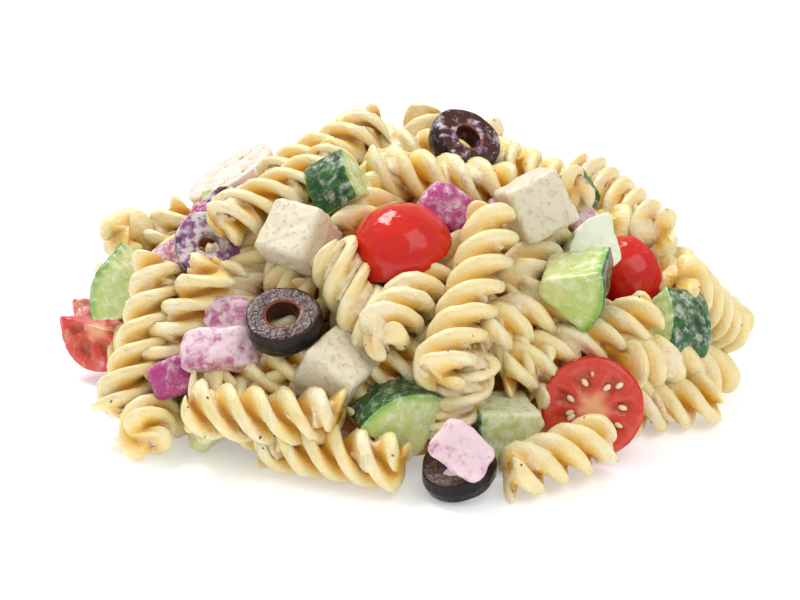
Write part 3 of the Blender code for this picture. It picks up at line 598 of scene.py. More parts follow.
def settle(strands, hulls):
    """Lets the pieces make room for each other, near where they were seen and above the floor."""
    homing, sag = HOMING, SAG
    for round_number in range(SETTLING_ROUNDS):
        for i, one in enumerate(hulls):
            for other in hulls[i + 1 :]:
                part_hulls(one, other)
        draw_in_loose(strands)
        for i, one in enumerate(strands):
            for other in strands[i + 1 :]:
                part_strands(one, other)
            for hull in hulls:
                part_strand_and_hull(one, hull)
        if round_number >= SETTLING_ROUNDS - FREE_ROUNDS:
            homing = sag = 0.0
        for hull in hulls:
            hull.move(drawn_back(hull.shift, hull.sight, homing, sag))
            keep_above_floor(hull, CLEARANCE, [((), hull.corners[:, 2].min())])
        for strand in strands:
            moved = strand.middle - strand.home[0]
            strand.middle = strand.middle + drawn_back(moved, strand.sight, homing, sag)
            strand.along = unit(strand.along + homing * (strand.home[1] - strand.along))
            ends = [((share,), strand.points(SAMPLES)[k][2]) for k, share in ((0, -0.5), (-1, 0.5))]
            keep_above_floor(strand, TWIST_RADIUS, ends)
            keep_out_of_core(strand)


def part_all_hulls(hulls):
    """The last small moves that leave every topping clear of the others and of the floor."""
    for _ in range(SETTLING_ROUNDS):
        for i, one in enumerate(hulls):
            for other in hulls[i + 1 :]:
                part_hulls(one, other)
        for hull in hulls:
            keep_above_floor(hull, CLEARANCE, [((), hull.corners[:, 2].min())])


def shortened_to_fit(strand, hulls):
    """Trims a strand that still reaches into a topping, or returns None if that leaves too little."""
    while max(overreach(strand, hull)[0] for hull in hulls) > MOST_TRIMMED:
        if strand.length < SHORTEST_TWIST + 1.0:
            return None
        ends = [strand.middle + share * strand.length * strand.along for share in (-0.5, 0.5)]
        heights = [min(hull.outside(end[None, :])[0][0] for hull in hulls) for end in ends]
        trim = 0.5 if heights[0] < heights[1] else -0.5
        strand.middle = strand.middle + trim * strand.along
        strand.length -= 1.0
    return strand


def back_strands(draw):
    """Rows of strands round the back of the heap, at varied angles."""
    made = []
    for height, count, steepest, first, last in BACK_ROWS:
        for i in range(count):
            bearing = math.radians(first + (last - first) * (i + 0.5) / count) + draw.uniform(-0.08, 0.08)
            tall = (height / (HEAP_HEIGHT - LAY_INSET)) ** HEAP_ROUNDNESS
            flat = (1.0 - tall) ** (1 / HEAP_ROUNDNESS)
            point = np.array(
                [
                    flat * (HEAP_HALF_WIDTH - LAY_INSET) * math.cos(bearing),
                    flat * (HEAP_HALF_DEPTH - LAY_INSET) * math.sin(bearing),
                    height,
                ]
            )
            normal = heap_normal(point, LAY_INSET)
            level = unit(np.cross(normal, UPWARD))
            spin = steepest * draw.uniform(0.2, 1.0) * (-1) ** i
            along = math.cos(spin) * level + math.sin(spin) * np.cross(normal, level)
            length = BACK_LENGTH + draw.uniform(-4, 4)
            made.append(Strand(f"back_{height:.0f}_{i}", point, along, length, -normal))
    return made


# Looks: one detailed pasta twist
SECTION_TURN = 120.0  # degrees from one flight to the next
FLIGHT_SHAPE = (  # share of the way to the next flight, share of the radius
    (0.00, 0.32),
    (-0.02, 0.46),
    (-0.045, 0.63),
    (-0.05, 0.79),
    (-0.02, 0.91),
    (0.05, 0.98),
    (0.14, 1.0),
    (0.24, 0.99),
    (0.33, 0.95),
    (0.41, 0.87),
    (0.48, 0.76),
    (0.55, 0.64),
    (0.63, 0.52),
    (0.72, 0.42),
    (0.82, 0.35),
    (0.92, 0.315),
)
STATION = 0.85  # spacing of the sections along a twist
END_ROUNDING = ((0.0, 0.80), (0.35, 0.93), (0.9, 0.99))  # distance from the end, share of the radius
MOST_SLANT = 0.35  # how obliquely an end is cut
BENDS = {"left_outer": 3.0, "middle_upright": 1.5, "slope_low": 2.0, "back_left": -2.0}
MOST_BEND = 1.2
LEANS = (0.05, 0.22)  # how far a flight leans over, least and most
LEAN_PIVOT = 0.36  # the share of the radius at which a leaning flight stays in place
PITCH_SPREAD = (0.93, 1.06)
RADIUS_SPREAD = (0.97, 1.03)
SLANT_FROM = 0.6  # share of the way from the middle to an end at which the slant begins
LUMP, LUMP_SIZE = 0.16, 3.2  # height, width
SAUCE_FILL = 0.66  # how high sauce fills a groove, as a share of the radius
SAUCE_UNEVEN, SAUCE_UNEVEN_SIZE = 0.10, 3.0
SAUCE_LUMP, SAUCE_LUMP_SIZE = 0.35, 1.7
SAUCE_PATCH, SAUCE_SPOT = 7.0, 2.4  # widths of the patches and spots that sauce gathers in
SAUCE_EDGE = (0.55, 1.05)  # where a patch begins and is full
SAUCED = {  # how much sauce lies on a twist; the others get the plain amount
    "left_inner": 0.25,
    "up_left": 0.5,
    "up_left_top": 0.35,
    "middle_left": 0.45,
    "middle_broken": 0.5,
    "middle_low": 0.6,
    "left_middle": 0.55,
    "crown_back": 0.35,
    "right_short": 0.25,
}
PLAIN_SAUCE = 0.0
GAP_TWISTS = (  # the ones that show in the gaps of the front
    Twist("low_gap", -37.5, -19.0, -35, 28, lift=-4),
    Twist("olive_gap", -28.5, 2.0, 80, 28, lift=-6),
    Twist("upright_gap", 24.0, 5.5, -20, 28, lift=-6),
    Twist("cheese_gap", -6.0, 43.0, 60, 28, lift=-4),
    Twist("front_tip", 6.0, -22.0, 40, 24, lift=-6),
    Twist("onion_gap", -47.0, 15.0, 45, 26, lift=-7),
    Twist("middle_gap", 0.5, 1.0, 10, 28, lift=-6),
    Twist("crown_gap", 14.0, 31.0, 100, 26, lift=-7),
    Twist("block_gap", -33.0, -2.0, 15, 28, lift=-5),
)
ABOVE_FLOOR = 0.1  # nothing reaches lower than this
UNDER_COUNT = 150  # twists tried under the outer ones
UNDER_INSET = 15.0
UNDER_LENGTHS = (24.0, 34.0)
UNDER_CLEAR = 1.0  # one that comes this close to a topping is left out
UNDER_ABOVE = 0.3  # added room under the lowest ones
UNDER_SAUCE = 0.1
LYING_HEIGHT, LYING_SHARE = 14.0, 0.2  # below this height they lie more level, by this share
DEEP_CORE_INSET = 22.0
DEEP_CORE_FLOOR = 0.5
DEEP_CORE_LUMP, DEEP_CORE_LUMP_SIZE = 1.5, 6.0
TRIANGLES_A_PIECE = 180000
SHADE_FROM, SHADE_TO = 6.0, 17.0  # how far in the painted shade on the pasta begins and is full, from cream to amber

# The photo's frame
PHOTO_ACROSS = 1.0  # its middle, right of the heap's
PHOTO_UP = 17.5
PHOTO_WIDTH = 200.0
SENSOR = 36.0

# The studio: each light's name, place, width and power
LIGHTS = (("key", (-350, 400, 900), 450, 8.0), ("fill", (400, -500, 800), 700, 2.8))
LIT_HEIGHT = 0.03  # in metres, where the lights aim
WORLD_STRENGTH = 0.66
FLOOR_HALF = 9000.0
FLOOR_GLOW = 0.34


def wavy(points, size, seed, waves=14):
    """A smooth random field of about -1 to 1, with lumps of about this size."""
    draw = np.random.default_rng(seed)
    ways = draw.normal(size=(waves, 3))
    ways *= (draw.uniform(0.6, 1.6, waves) / np.linalg.norm(ways, axis=1))[:, None]
    offsets = draw.uniform(0, math.tau, waves)
    total = np.sin(points @ ways.T * (math.pi / size) + offsets).sum(axis=1)
    return total / math.sqrt(waves)


def smooth_step(low, high, values):
    """0 below low, 1 above high, and an even curve between."""
    share = np.clip((values - low) / (high - low), 0.0, 1.0)
    return share * share * (3.0 - 2.0 * share)


def depth_in_heap(points):
    """How much painted shade the pasta gets: 0 at the heap's outside, 1 where the gaps between the twists
    end.
    """
    halves = np.array([HEAP_HALF_WIDTH, HEAP_HALF_DEPTH, HEAP_HEIGHT])
    x, y, z = (points / halves).T
    level = np.hypot(x, y) ** HEAP_ROUNDNESS + np.maximum(z, 0.0) ** HEAP_ROUNDNESS
    inset = (1.0 - level ** (1.0 / HEAP_ROUNDNESS)) * HEAP_HEIGHT
    return smooth_step(SHADE_FROM, SHADE_TO, inset)


class Shape:
    """Points, faces and named values of one mesh, gathered from many pieces, in millimetres."""

    def __init__(self):
        self.points, self.faces, self.values = [], [], {}
        self.count = 0

    def add(self, points, faces, **values):
        self.points.append(points)
        self.faces.extend([tuple(i + self.count for i in face) for face in faces])
        for name, value in values.items():
            self.values.setdefault(name, []).append(value)
        self.count += len(points)

    def triangles(self):
        return sum(len(face) - 2 for face in self.faces)


def made_object(name, shape, looks, replaced=()):
    """An object in metres from a shape in millimetres, smooth, riding on the heap."""
    data = bpy.data.meshes.new(name)
    points = np.concatenate(shape.points) * MM
    data.from_pydata(points.tolist(), [], shape.faces)
    for title, parts in shape.values.items():
        attribute = data.attributes.new(title, "FLOAT", "POINT")
        attribute.data.foreach_set("value", np.concatenate(parts).astype(np.float32))
    data.polygons.foreach_set("use_smooth", [True] * len(data.polygons))
    data.materials.append(looks)
    data.validate()
    made = bpy.data.objects.new(name, data)
    bpy.context.scene.collection.objects.link(made)
    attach(made, "root")
    if replaced:
        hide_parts(*replaced)
    return made


def section_points(lean):
    """The angles and radii, as shares, of a twist's section, all round."""
    angles, radii = [], []
    for flight in range(FLIGHTS):
        for share, radius in FLIGHT_SHAPE:
            angles.append(math.radians((flight + share - lean * (radius - LEAN_PIVOT)) * SECTION_TURN))
            radii.append(radius)
    return np.array(angles), np.array(radii)


def axis_frame(along):
    """Two directions square to this one."""
    side = unit(np.cross(along, UPWARD if abs(along[2]) < 0.9 else np.eye(3)[0]))
    return side, np.cross(along, side)


def stations_of(length):
    """The places along a twist, from its middle, and how much its section is drawn in there."""
    inner = length / 2 - END_ROUNDING[-1][0]
    ends = [length / 2 - gap for gap, _ in END_ROUNDING]
    middle = np.linspace(-inner, inner, max(4, round(2 * inner / STATION)))
    places = np.concatenate([[-e for e in ends[:-1]], middle, ends[:-1][::-1]])
    shares = [share for _, share in END_ROUNDING[:-1]]
    drawn = np.concatenate([shares, np.ones(len(middle)), shares[::-1]])
    return places, drawn


def add_fusillo(shape, strand, spin, saucy, draw, bend=None):
    """One pasta twist with thick swirled lips, a little bent, lumpy, and sauce in its grooves."""
    lean = draw.uniform(*LEANS) * draw.choice((-1, 1))
    angles, radii = section_points(lean)
    places, drawn = stations_of(strand.length)
    pitch = TWIST_PITCH * draw.uniform(*PITCH_SPREAD)
    radius = TWIST_RADIUS * draw.uniform(*RADIUS_SPREAD)
    slants = draw.uniform(-MOST_SLANT, MOST_SLANT), draw.uniform(-MOST_SLANT, MOST_SLANT)
    slant_way = draw.uniform(0, math.tau)
    bend_way = draw.uniform(0, math.tau)
    bow = draw.uniform(-MOST_BEND, MOST_BEND) if bend is None else bend
    seed = draw.randrange(10**6)
    tone = draw.random()

    side, other = axis_frame(strand.along)
    if bend is not None:
        side = unit(np.cross(strand.along, heap_normal(strand.middle, LAY_INSET)))
        other = np.cross(strand.along, side)
        bend_way = 0.0
    turned = spin + math.tau * places[:, None] / pitch + angles[None, :]
    reach = radius * radii[None, :] * drawn[:, None]
    x, y = reach * np.cos(turned), reach * np.sin(turned)
    share = 2.0 * places / strand.length
    arch = bow * (1.0 - share**2)
    near_end = np.clip((np.abs(share) - SLANT_FROM) / (1.0 - SLANT_FROM), 0.0, 1.0)
    slant = np.where(share > 0, slants[1], slants[0]) * near_end
    tilt = slant[:, None] * (x * math.cos(slant_way) + y * math.sin(slant_way))
    where = places[:, None] + tilt

    def in_space(x, y):
        bent_x = x + arch[:, None] * math.cos(bend_way)
        bent_y = y + arch[:, None] * math.sin(bend_way)
        flat = [part.ravel()[:, None] for part in (bent_x, bent_y, where)]
        return strand.middle + flat[0] * side + flat[1] * other + flat[2] * strand.along

    points = in_space(x, y)
    depth = np.broadcast_to(radii, turned.shape).ravel()
    patches = 0.75 * wavy(points, SAUCE_PATCH, 11) + 0.45 * wavy(points, SAUCE_SPOT, 12)
    sauce = smooth_step(*SAUCE_EDGE, patches + 0.35 + saucy)
    filled = SAUCE_FILL + SAUCE_UNEVEN * wavy(points, SAUCE_UNEVEN_SIZE, 13)
    rise = np.clip(filled - depth, 0.0, 1.0) * sauce
    clots = 0.4 + 0.6 * wavy(points, SAUCE_LUMP_SIZE, 14)
    lumps = LUMP * wavy(points, LUMP_SIZE, seed) + SAUCE_LUMP * sauce * clots
    grown = (depth + rise + lumps / radius) / depth
    grown = np.where(np.repeat(drawn, len(angles)) < 1.0, 1.0, grown)
    points = in_space(x * grown.reshape(x.shape), y * grown.reshape(y.shape))
    points[:, 2] = np.maximum(points[:, 2], ABOVE_FLOOR)
    sections, rim = x.shape
    faces = [
        (i * rim + j, i * rim + (j + 1) % rim, (i + 1) * rim + (j + 1) % rim, (i + 1) * rim + j)
        for i in range(sections - 1)
        for j in range(rim)
    ]
    faces.append(tuple(range(rim))[::-1])
    faces.append(tuple((sections - 1) * rim + j for j in range(rim)))
    tones = np.full(len(points), tone)
    shape.add(points, faces, depth=depth, sauce=sauce, tone=tones, deep=depth_in_heap(points))
    return points


def add_twists(twists, looks, draw, title, last, replaced=()):
    """Lays detailed twists, joined in pieces of about TRIANGLES_A_PIECE; the points of each twist.

    Each twist comes with its spin, its sauce and its bend. The last piece has its own name.
    """
    batch, number, laid = Shape(), 0, []
    for strand, spin, saucy, bend in twists:
        laid.append(add_fusillo(batch, strand, spin, saucy, draw, bend))
        if batch.triangles() > TRIANGLES_A_PIECE:
            number += 1
            made_object(f"{title}_{number}", batch, looks["pasta"])
            batch = Shape()
    made_object(last, batch, looks["pasta"], replaced)
    return laid


def under_strands(draw, hulls):
    """Twists under the outer ones, which show in the gaps."""
    made = [placed_strand(twist) for twist in GAP_TWISTS]
    for strand in made:
        strand.middle[2] += max(0.0, TWIST_RADIUS - strand.points(SAMPLES)[:, 2].min())
    golden = math.pi * (3.0 - math.sqrt(5.0))
    reach = np.array([HEAP_HALF_WIDTH, HEAP_HALF_DEPTH, HEAP_HEIGHT]) - UNDER_INSET
    for i in range(UNDER_COUNT):
        tall = 1.0 - (i + 0.5) / UNDER_COUNT
        flat = math.sqrt(1.0 - tall * tall)
        way = np.array([flat * math.cos(i * golden), flat * math.sin(i * golden), tall])
        point = on_heap(way) * reach
        point[2] = max(point[2], TWIST_RADIUS + UNDER_ABOVE)
        normal = heap_normal(point, UNDER_INSET)
        level = unit(np.cross(normal, UPWARD + 0.01))
        spin = draw.uniform(-0.5 * math.pi, 0.5 * math.pi)
        if point[2] < LYING_HEIGHT:
            spin *= LYING_SHARE
        along = math.cos(spin) * level + math.sin(spin) * np.cross(normal, level)
        strand = Strand(f"under_{i}", point, along, draw.uniform(*UNDER_LENGTHS), -normal)
        ends = strand.points(SAMPLES)
        if min(hull.outside(ends)[0].min() for hull in hulls) < UNDER_CLEAR:
            continue
        strand.middle[2] += max(0.0, TWIST_RADIUS - ends[:, 2].min())
        made.append(strand)
    return made


# Looks: toppings
FINE = 5  # subdivisions of the ball that a topping's surface is drawn from
PEBBLE = 2  # the same for a seed or a herb fleck
TOMATO_SHARPNESS, CUCUMBER_SHARPNESS, CHEESE_SHARPNESS, ONION_SHARPNESS = 34, 30, 15, 5
TOMATO_MIDDLE = 0.4  # how far behind a tomato's cut its surface is drawn from, as a share of the radius
CUCUMBER_TIP = 0.12  # how blunt a cucumber sector's tip is, as a share of the radius
OLIVE_HOLE, OLIVE_HALF, OLIVE_EDGE, OLIVE_SKIN = 0.5, 0.3, 0.94, 0.935  # shares of the radius
OLIVE_TURNS, OLIVE_STEPS = 72, 7
ONION_BOW = 0.12  # how far an onion piece is bowed, as a share of its width
COATS = {  # how much dressing lies on a topping
    "tomato_crown": -0.8,
    "tomato_front": -0.35,
    "tomato_right": -0.25,
    "tomato_left": 0.0,
    "tomato_back_left": 0.80,
    "cucumber_top": 0.30,
    "cucumber_left": 0.30,
    "cucumber_front": 0.25,
    "cucumber_low": 0.50,
    "cucumber_right": 0.15,
    "cucumber_coated": 0.74,
    "cucumber_slope": 0.40,
    "cucumber_corner": 0.35,
    "olive_front": -1.0,
    "olive_top": 0.10,
    "olive_left": 0.62,
    "olive_low": -0.30,
    "onion_block": 0.62,
    "onion_olive_side": 0.45,
    "onion_bright": 0.14,
    "onion_crown": 0.15,
    "onion_left_back": 0.35,
    "onion_olive_top": 0.15,
    "onion_on_olive": 0.75,
    "onion_cheese_side": 0.55,
}
PLAIN_COAT = 0.4
POCKETS = 7  # seed pockets round a tomato's middle
POCKET_DEPTH = 0.9
SEED_SIZE = (1.15, 0.7, 0.45)
SEED_RING = (0.44, 0.68)  # where the seeds lie, as shares of the radius
SEED_SUNK = 0.55  # how far they lie down a pocket
FLECK_COUNT = 420  # herb flakes tried
FLECK_SIZES = (0.15, 0.5)
FLECK_THICKNESS = 0.12
FLECK_INSET = 3.5  # none lies further in than this
FLECK_LOWEST = 3.0


def ball(subdivisions):
    """The directions and faces of an even ball."""
    mesh = bmesh.new()
    bmesh.ops.create_icosphere(mesh, subdivisions=subdivisions, radius=1.0)
    mesh.verts.index_update()
    ways = np.array([v.co for v in mesh.verts])
    faces = [tuple(v.index for v in f.verts) for f in mesh.faces]
    mesh.free()
    return ways, faces


def flat_wall(normal, distance):
    """For each direction, one over the reach to a plane at this distance from the middle."""
    normal = unit(np.array(normal, dtype=float))
    return lambda ways: np.maximum(ways @ normal, 0.0) / distance


def round_wall(centre, radius, axes):
    """The same for a ball (all three axes) or a cylinder along Z (the first two axes)."""
    centre = np.array(centre, dtype=float)[:axes]

    def inverse(ways):
        flat = ways[:, :axes]
        square = (flat**2).sum(axis=1)
        ahead = flat @ centre
        root = np.sqrt(np.maximum(ahead**2 - square * (centre @ centre - radius**2), 0.0))
        return square / np.maximum(ahead + root, 1e-6)

    return inverse


def walled(ways, walls, sharpness):
    """Points on a convex piece bounded by walls, with edges as sharp as asked, and each wall's share."""
    parts = np.array([wall(ways) for wall in walls]) ** sharpness
    total = parts.sum(axis=0)
    return ways * (total ** (-1.0 / sharpness))[:, None], parts / total


def tomato_piece(size, cuts):
    """A cherry tomato cut once or twice: points, faces, and where its skin shows."""
    radius = size[0]
    normals = [UPWARD, np.array([0.0, 1.0, 0.0])][:cuts]
    behind = TOMATO_MIDDLE * radius
    middle = -behind * np.sum(normals, axis=0)
    walls = [round_wall(-middle, radius, 3)] + [flat_wall(n, behind) for n in normals]
    ways, faces = ball(FINE)
    points, shares = walled(ways, walls, TOMATO_SHARPNESS)
    points = points + middle
    skin = shares[0]
    cut = 1.0 - skin
    out = np.linalg.norm(points, axis=1) / radius
    turn = np.arctan2(points[:, 1], points[:, 0] + 0.05 * radius)
    pocket = pocket_share(out, turn) * (cut > 0.5)
    core = (1.0 - smooth_step(0.12, 0.42, out + 0.05 * np.sin(5 * turn))) * cut
    points[:, 2] -= POCKET_DEPTH * pocket * shares[1]
    return points, faces, {"skin": skin, "pocket": pocket, "core": core}


def pocket_share(out, turn):
    """1 in the middle of a seed pocket of a cut tomato, 0 outside."""
    lobe = 0.5 + 0.5 * np.cos(POCKETS * turn + 0.9 * np.sin(2.0 * turn))
    ring = smooth_step(0.30, 0.46, out) * (1.0 - smooth_step(0.66, 0.80, out))
    return smooth_step(0.22, 0.62, lobe) * ring


def cucumber_piece(size):
    """A sector of a cucumber slice; out runs from 0 at the cucumber's axis to 1 at its skin."""
    radius, angle, thickness = size
    tip = CUCUMBER_TIP * radius
    middle = np.array([0.0, tip, 0.0])
    half = math.radians(angle / 2)
    walls = [round_wall(np.array([0.0, -radius / 2, 0.0]) - middle, radius, 2)]
    for sign in (-1, 1):
        edge = np.array([sign * (radius * math.sin(half) - tip), radius * math.cos(half)])
        normal = unit(np.array([sign * edge[1], -sign * edge[0]]))
        normal = np.array([normal[0], normal[1], 0.0])
        corner = np.array([sign * tip, -radius / 2, 0.0])
        walls.append(flat_wall(normal, (corner - middle) @ normal))
    walls.append(flat_wall((0, -1, 0), radius / 2 + middle[1]))
    walls += [flat_wall((0, 0, sign), thickness / 2) for sign in (-1, 1)]
    ways, faces = ball(FINE)
    points, shares = walled(ways, walls, CUCUMBER_SHARPNESS)
    points = points + middle
    out = np.hypot(points[:, 0], points[:, 1] + radius / 2) / radius
    return points, faces, {"skin": shares[0], "out": out}


def cheese_piece(size):
    """A cube of soft cheese with rounded, slightly worn edges."""
    half = size[0] / 2
    walls = [flat_wall(sign * axis, half) for axis in np.eye(3) for sign in (-1, 1)]
    ways, faces = ball(FINE)
    points, _ = walled(ways, walls, CHEESE_SHARPNESS)
    return points, faces, {}


def olive_piece(size):
    """A ring cut across a pitted olive; out runs from 0 at its hole to 1 at its skin."""
    radius = size[0]
    hole_share = size[1] if len(size) > 1 else OLIVE_HOLE
    hole, half, edge = hole_share * radius, OLIVE_HALF * radius, radius * OLIVE_EDGE
    corners = [(hole, -half), (edge, -half), (radius, 0.0), (edge, half), (hole, half)]
    profile = []
    for (x0, z0), (x1, z1) in zip(corners, corners[1:] + corners[:1]):
        for share in np.linspace(0.06, 0.94, OLIVE_STEPS):
            profile.append((x0 + share * (x1 - x0), z0 + share * (z1 - z0)))
    count, turns = len(profile), OLIVE_TURNS
    points, out, skin = [], [], []
    for j in range(turns):
        angle = math.tau * j / turns
        for x, z in profile:
            wobble = 1.0 + 0.02 * math.sin(3 * angle + 1.0) + 0.012 * math.sin(7 * angle)
            points.append((x * wobble * math.cos(angle), x * wobble * math.sin(angle), z))
            out.append((x - hole) / (radius - hole))
            skin.append(1.0 if x > radius * OLIVE_SKIN else 0.0)
    faces = [
        (
            j * count + i,
            ((j + 1) % turns) * count + i,
            ((j + 1) % turns) * count + (i + 1) % count,
            j * count + (i + 1) % count,
        )
        for j in range(turns)
        for i in range(count)
    ]
    return np.array(points), faces, {"skin": np.array(skin), "out": np.array(out)}


def onion_piece(size):
    """A chopped piece of onion layer: a soft-edged slab, bowed, with its skin side up."""
    width, height, thickness = size
    halves = np.array([width, height, thickness]) / 2
    walls = [flat_wall(sign * axis, halves[i]) for i, axis in enumerate(np.eye(3)) for sign in (-1, 1)]
    ways, faces = ball(FINE)
    stretched = ways * halves
    stretched /= np.linalg.norm(stretched, axis=1)[:, None]
    points, shares = walled(stretched, walls, ONION_SHARPNESS)
    x, y = points[:, 0] / halves[0], points[:, 1] / halves[1]
    points[:, 2] += ONION_BOW * width * (0.5 - 0.7 * x**2 - 0.3 * y**2)
    return points, faces, {"skin": shares[5], "out": 0.5 + points[:, 2] / thickness}


PIECES = {
    "tomato_half": lambda size: tomato_piece(size, 1),
    "tomato_quarter": lambda size: tomato_piece(size, 2),
    "cucumber": cucumber_piece,
    "cheese": cheese_piece,
    "olive": olive_piece,
    "onion": onion_piece,
}
UNEVENNESS = {
    "tomato_half": 0.10,
    "tomato_quarter": 0.12,
    "cucumber": 0.16,
    "cheese": 0.22,
    "olive": 0.10,
    "onion": 0.3,
}
DENT_SIZE, FINE_DENT_SIZE = 4.5, 1.6


def placed(points, topping, shift):
    """A topping's own points in its place on the heap, in millimetres."""
    matrix = np.array(topping_matrix(topping, shift))
    return points @ matrix[:3, :3].T + matrix[:3, 3] / MM


def add_topping_piece(hull, looks):
    """One detailed topping that stands for its solid."""
    topping = hull.topping
    points, faces, values = PIECES[topping.kind](topping.size)
    outward = points - points.mean(axis=0)
    outward /= np.linalg.norm(outward, axis=1)[:, None]
    seed = sum(map(ord, topping.name))
    dents = wavy(points, DENT_SIZE, seed) + 0.5 * wavy(points, FINE_DENT_SIZE, seed + 1)
    points = points + outward * UNEVENNESS[topping.kind] * dents[:, None]
    coat = np.full(len(points), COATS.get(topping.name, PLAIN_COAT))
    shape = Shape()
    shape.add(placed(points, topping, hull.shift), faces, coat=coat, **values)
    slot = topping.kind.split("_")[0]
    made_object(topping.name + "_piece", shape, looks[slot], (topping.name,))


def add_loose_twist(hull, looks, draw):
    """The twist that lies loose in front, where its solid lies."""
    turned = topping_matrix(hull.topping, hull.shift)
    middle = np.array(turned.translation) / MM
    along = np.array(turned.col[2])[:3]
    strand = Strand(hull.topping.name, middle, along, hull.topping.size[0], hull.sight)
    shape = Shape()
    points = add_fusillo(shape, strand, draw.uniform(0, math.tau), PLAIN_SAUCE, draw)
    made_object(strand.name + "_piece", shape, looks["pasta"], (strand.name,))
    return points


def add_pebble(shape, centre, halves, turned, **values):
    """A small ellipsoid."""
    ways, faces = ball(PEBBLE)
    points = centre + (ways * np.array(halves)) @ turned
    shape.add(points, faces, **{name: np.full(len(points), value) for name, value in values.items()})


def add_seeds(hull, looks):
    """The pale seeds in the pockets of a cut tomato."""
    shape = Shape()
    topping = hull.topping
    radius = topping.size[0]
    draw = random.Random(topping.name)
    for i in range(3 * POCKETS):
        turn = math.tau * i / (3 * POCKETS) + draw.uniform(-0.1, 0.1)
        out = draw.uniform(*SEED_RING)
        if pocket_share(np.array([out]), np.array([turn]))[0] < 0.35:
            continue
        centre = np.array([out * math.cos(turn), out * math.sin(turn), 0.0]) * radius
        centre[2] = -SEED_SUNK * POCKET_DEPTH
        aim = turn + draw.uniform(-0.4, 0.4)
        long = np.array([math.cos(aim), math.sin(aim), 0.0])
        turned = np.array([long, np.cross(UPWARD, long), UPWARD])
        add_pebble(shape, centre, SEED_SIZE, turned)
    shape.points = [placed(part, topping, hull.shift) for part in shape.points]
    made_object(topping.name + "_seeds", shape, looks["seed"])


def deep_core(looks):
    """The dressed mass in the middle of the heap, seen only through the gaps, painted all over in the pasta's
    full painted shade.
    """
    ways, faces = ball(FINE)
    reach = np.array([HEAP_HALF_WIDTH, HEAP_HALF_DEPTH, HEAP_HEIGHT]) - DEEP_CORE_INSET
    points = np.array([on_heap(way) * reach for way in ways])
    points[:, 2] = np.maximum(points[:, 2], DEEP_CORE_FLOOR)
    points += DEEP_CORE_LUMP * ways * wavy(points, DEEP_CORE_LUMP_SIZE, 5)[:, None]
    points[:, 2] = np.maximum(points[:, 2], DEEP_CORE_FLOOR)
    shape = Shape()
    ones = np.ones(len(points))
    shape.add(points, faces, depth=0.4 * ones, sauce=0.2 * ones, tone=0.5 * ones, deep=ones)
    made_object("core_piece", shape, looks["pasta"])


def add_flecks(outer, looks, draw):
    """Herb flakes lying on the pieces."""
    shape = Shape()
    for _ in range(FLECK_COUNT):
        points = outer[draw.randrange(len(outer))]
        point = points[draw.randrange(len(points))]
        out = heap_normal(point, LAY_INSET)
        if heap_level(point, FLECK_INSET) < 1.0 or point[2] < FLECK_LOWEST:
            continue
        side, other = axis_frame(out)
        spin = draw.uniform(0, math.tau)
        long = math.cos(spin) * side + math.sin(spin) * other
        turned = np.array([long, np.cross(out, long), out])
        size = draw.uniform(*FLECK_SIZES)
        halves = (size, size * draw.uniform(0.4, 0.9), FLECK_THICKNESS)
        add_pebble(shape, point, halves, turned)
    made_object("herb_flecks", shape, looks["herb"])


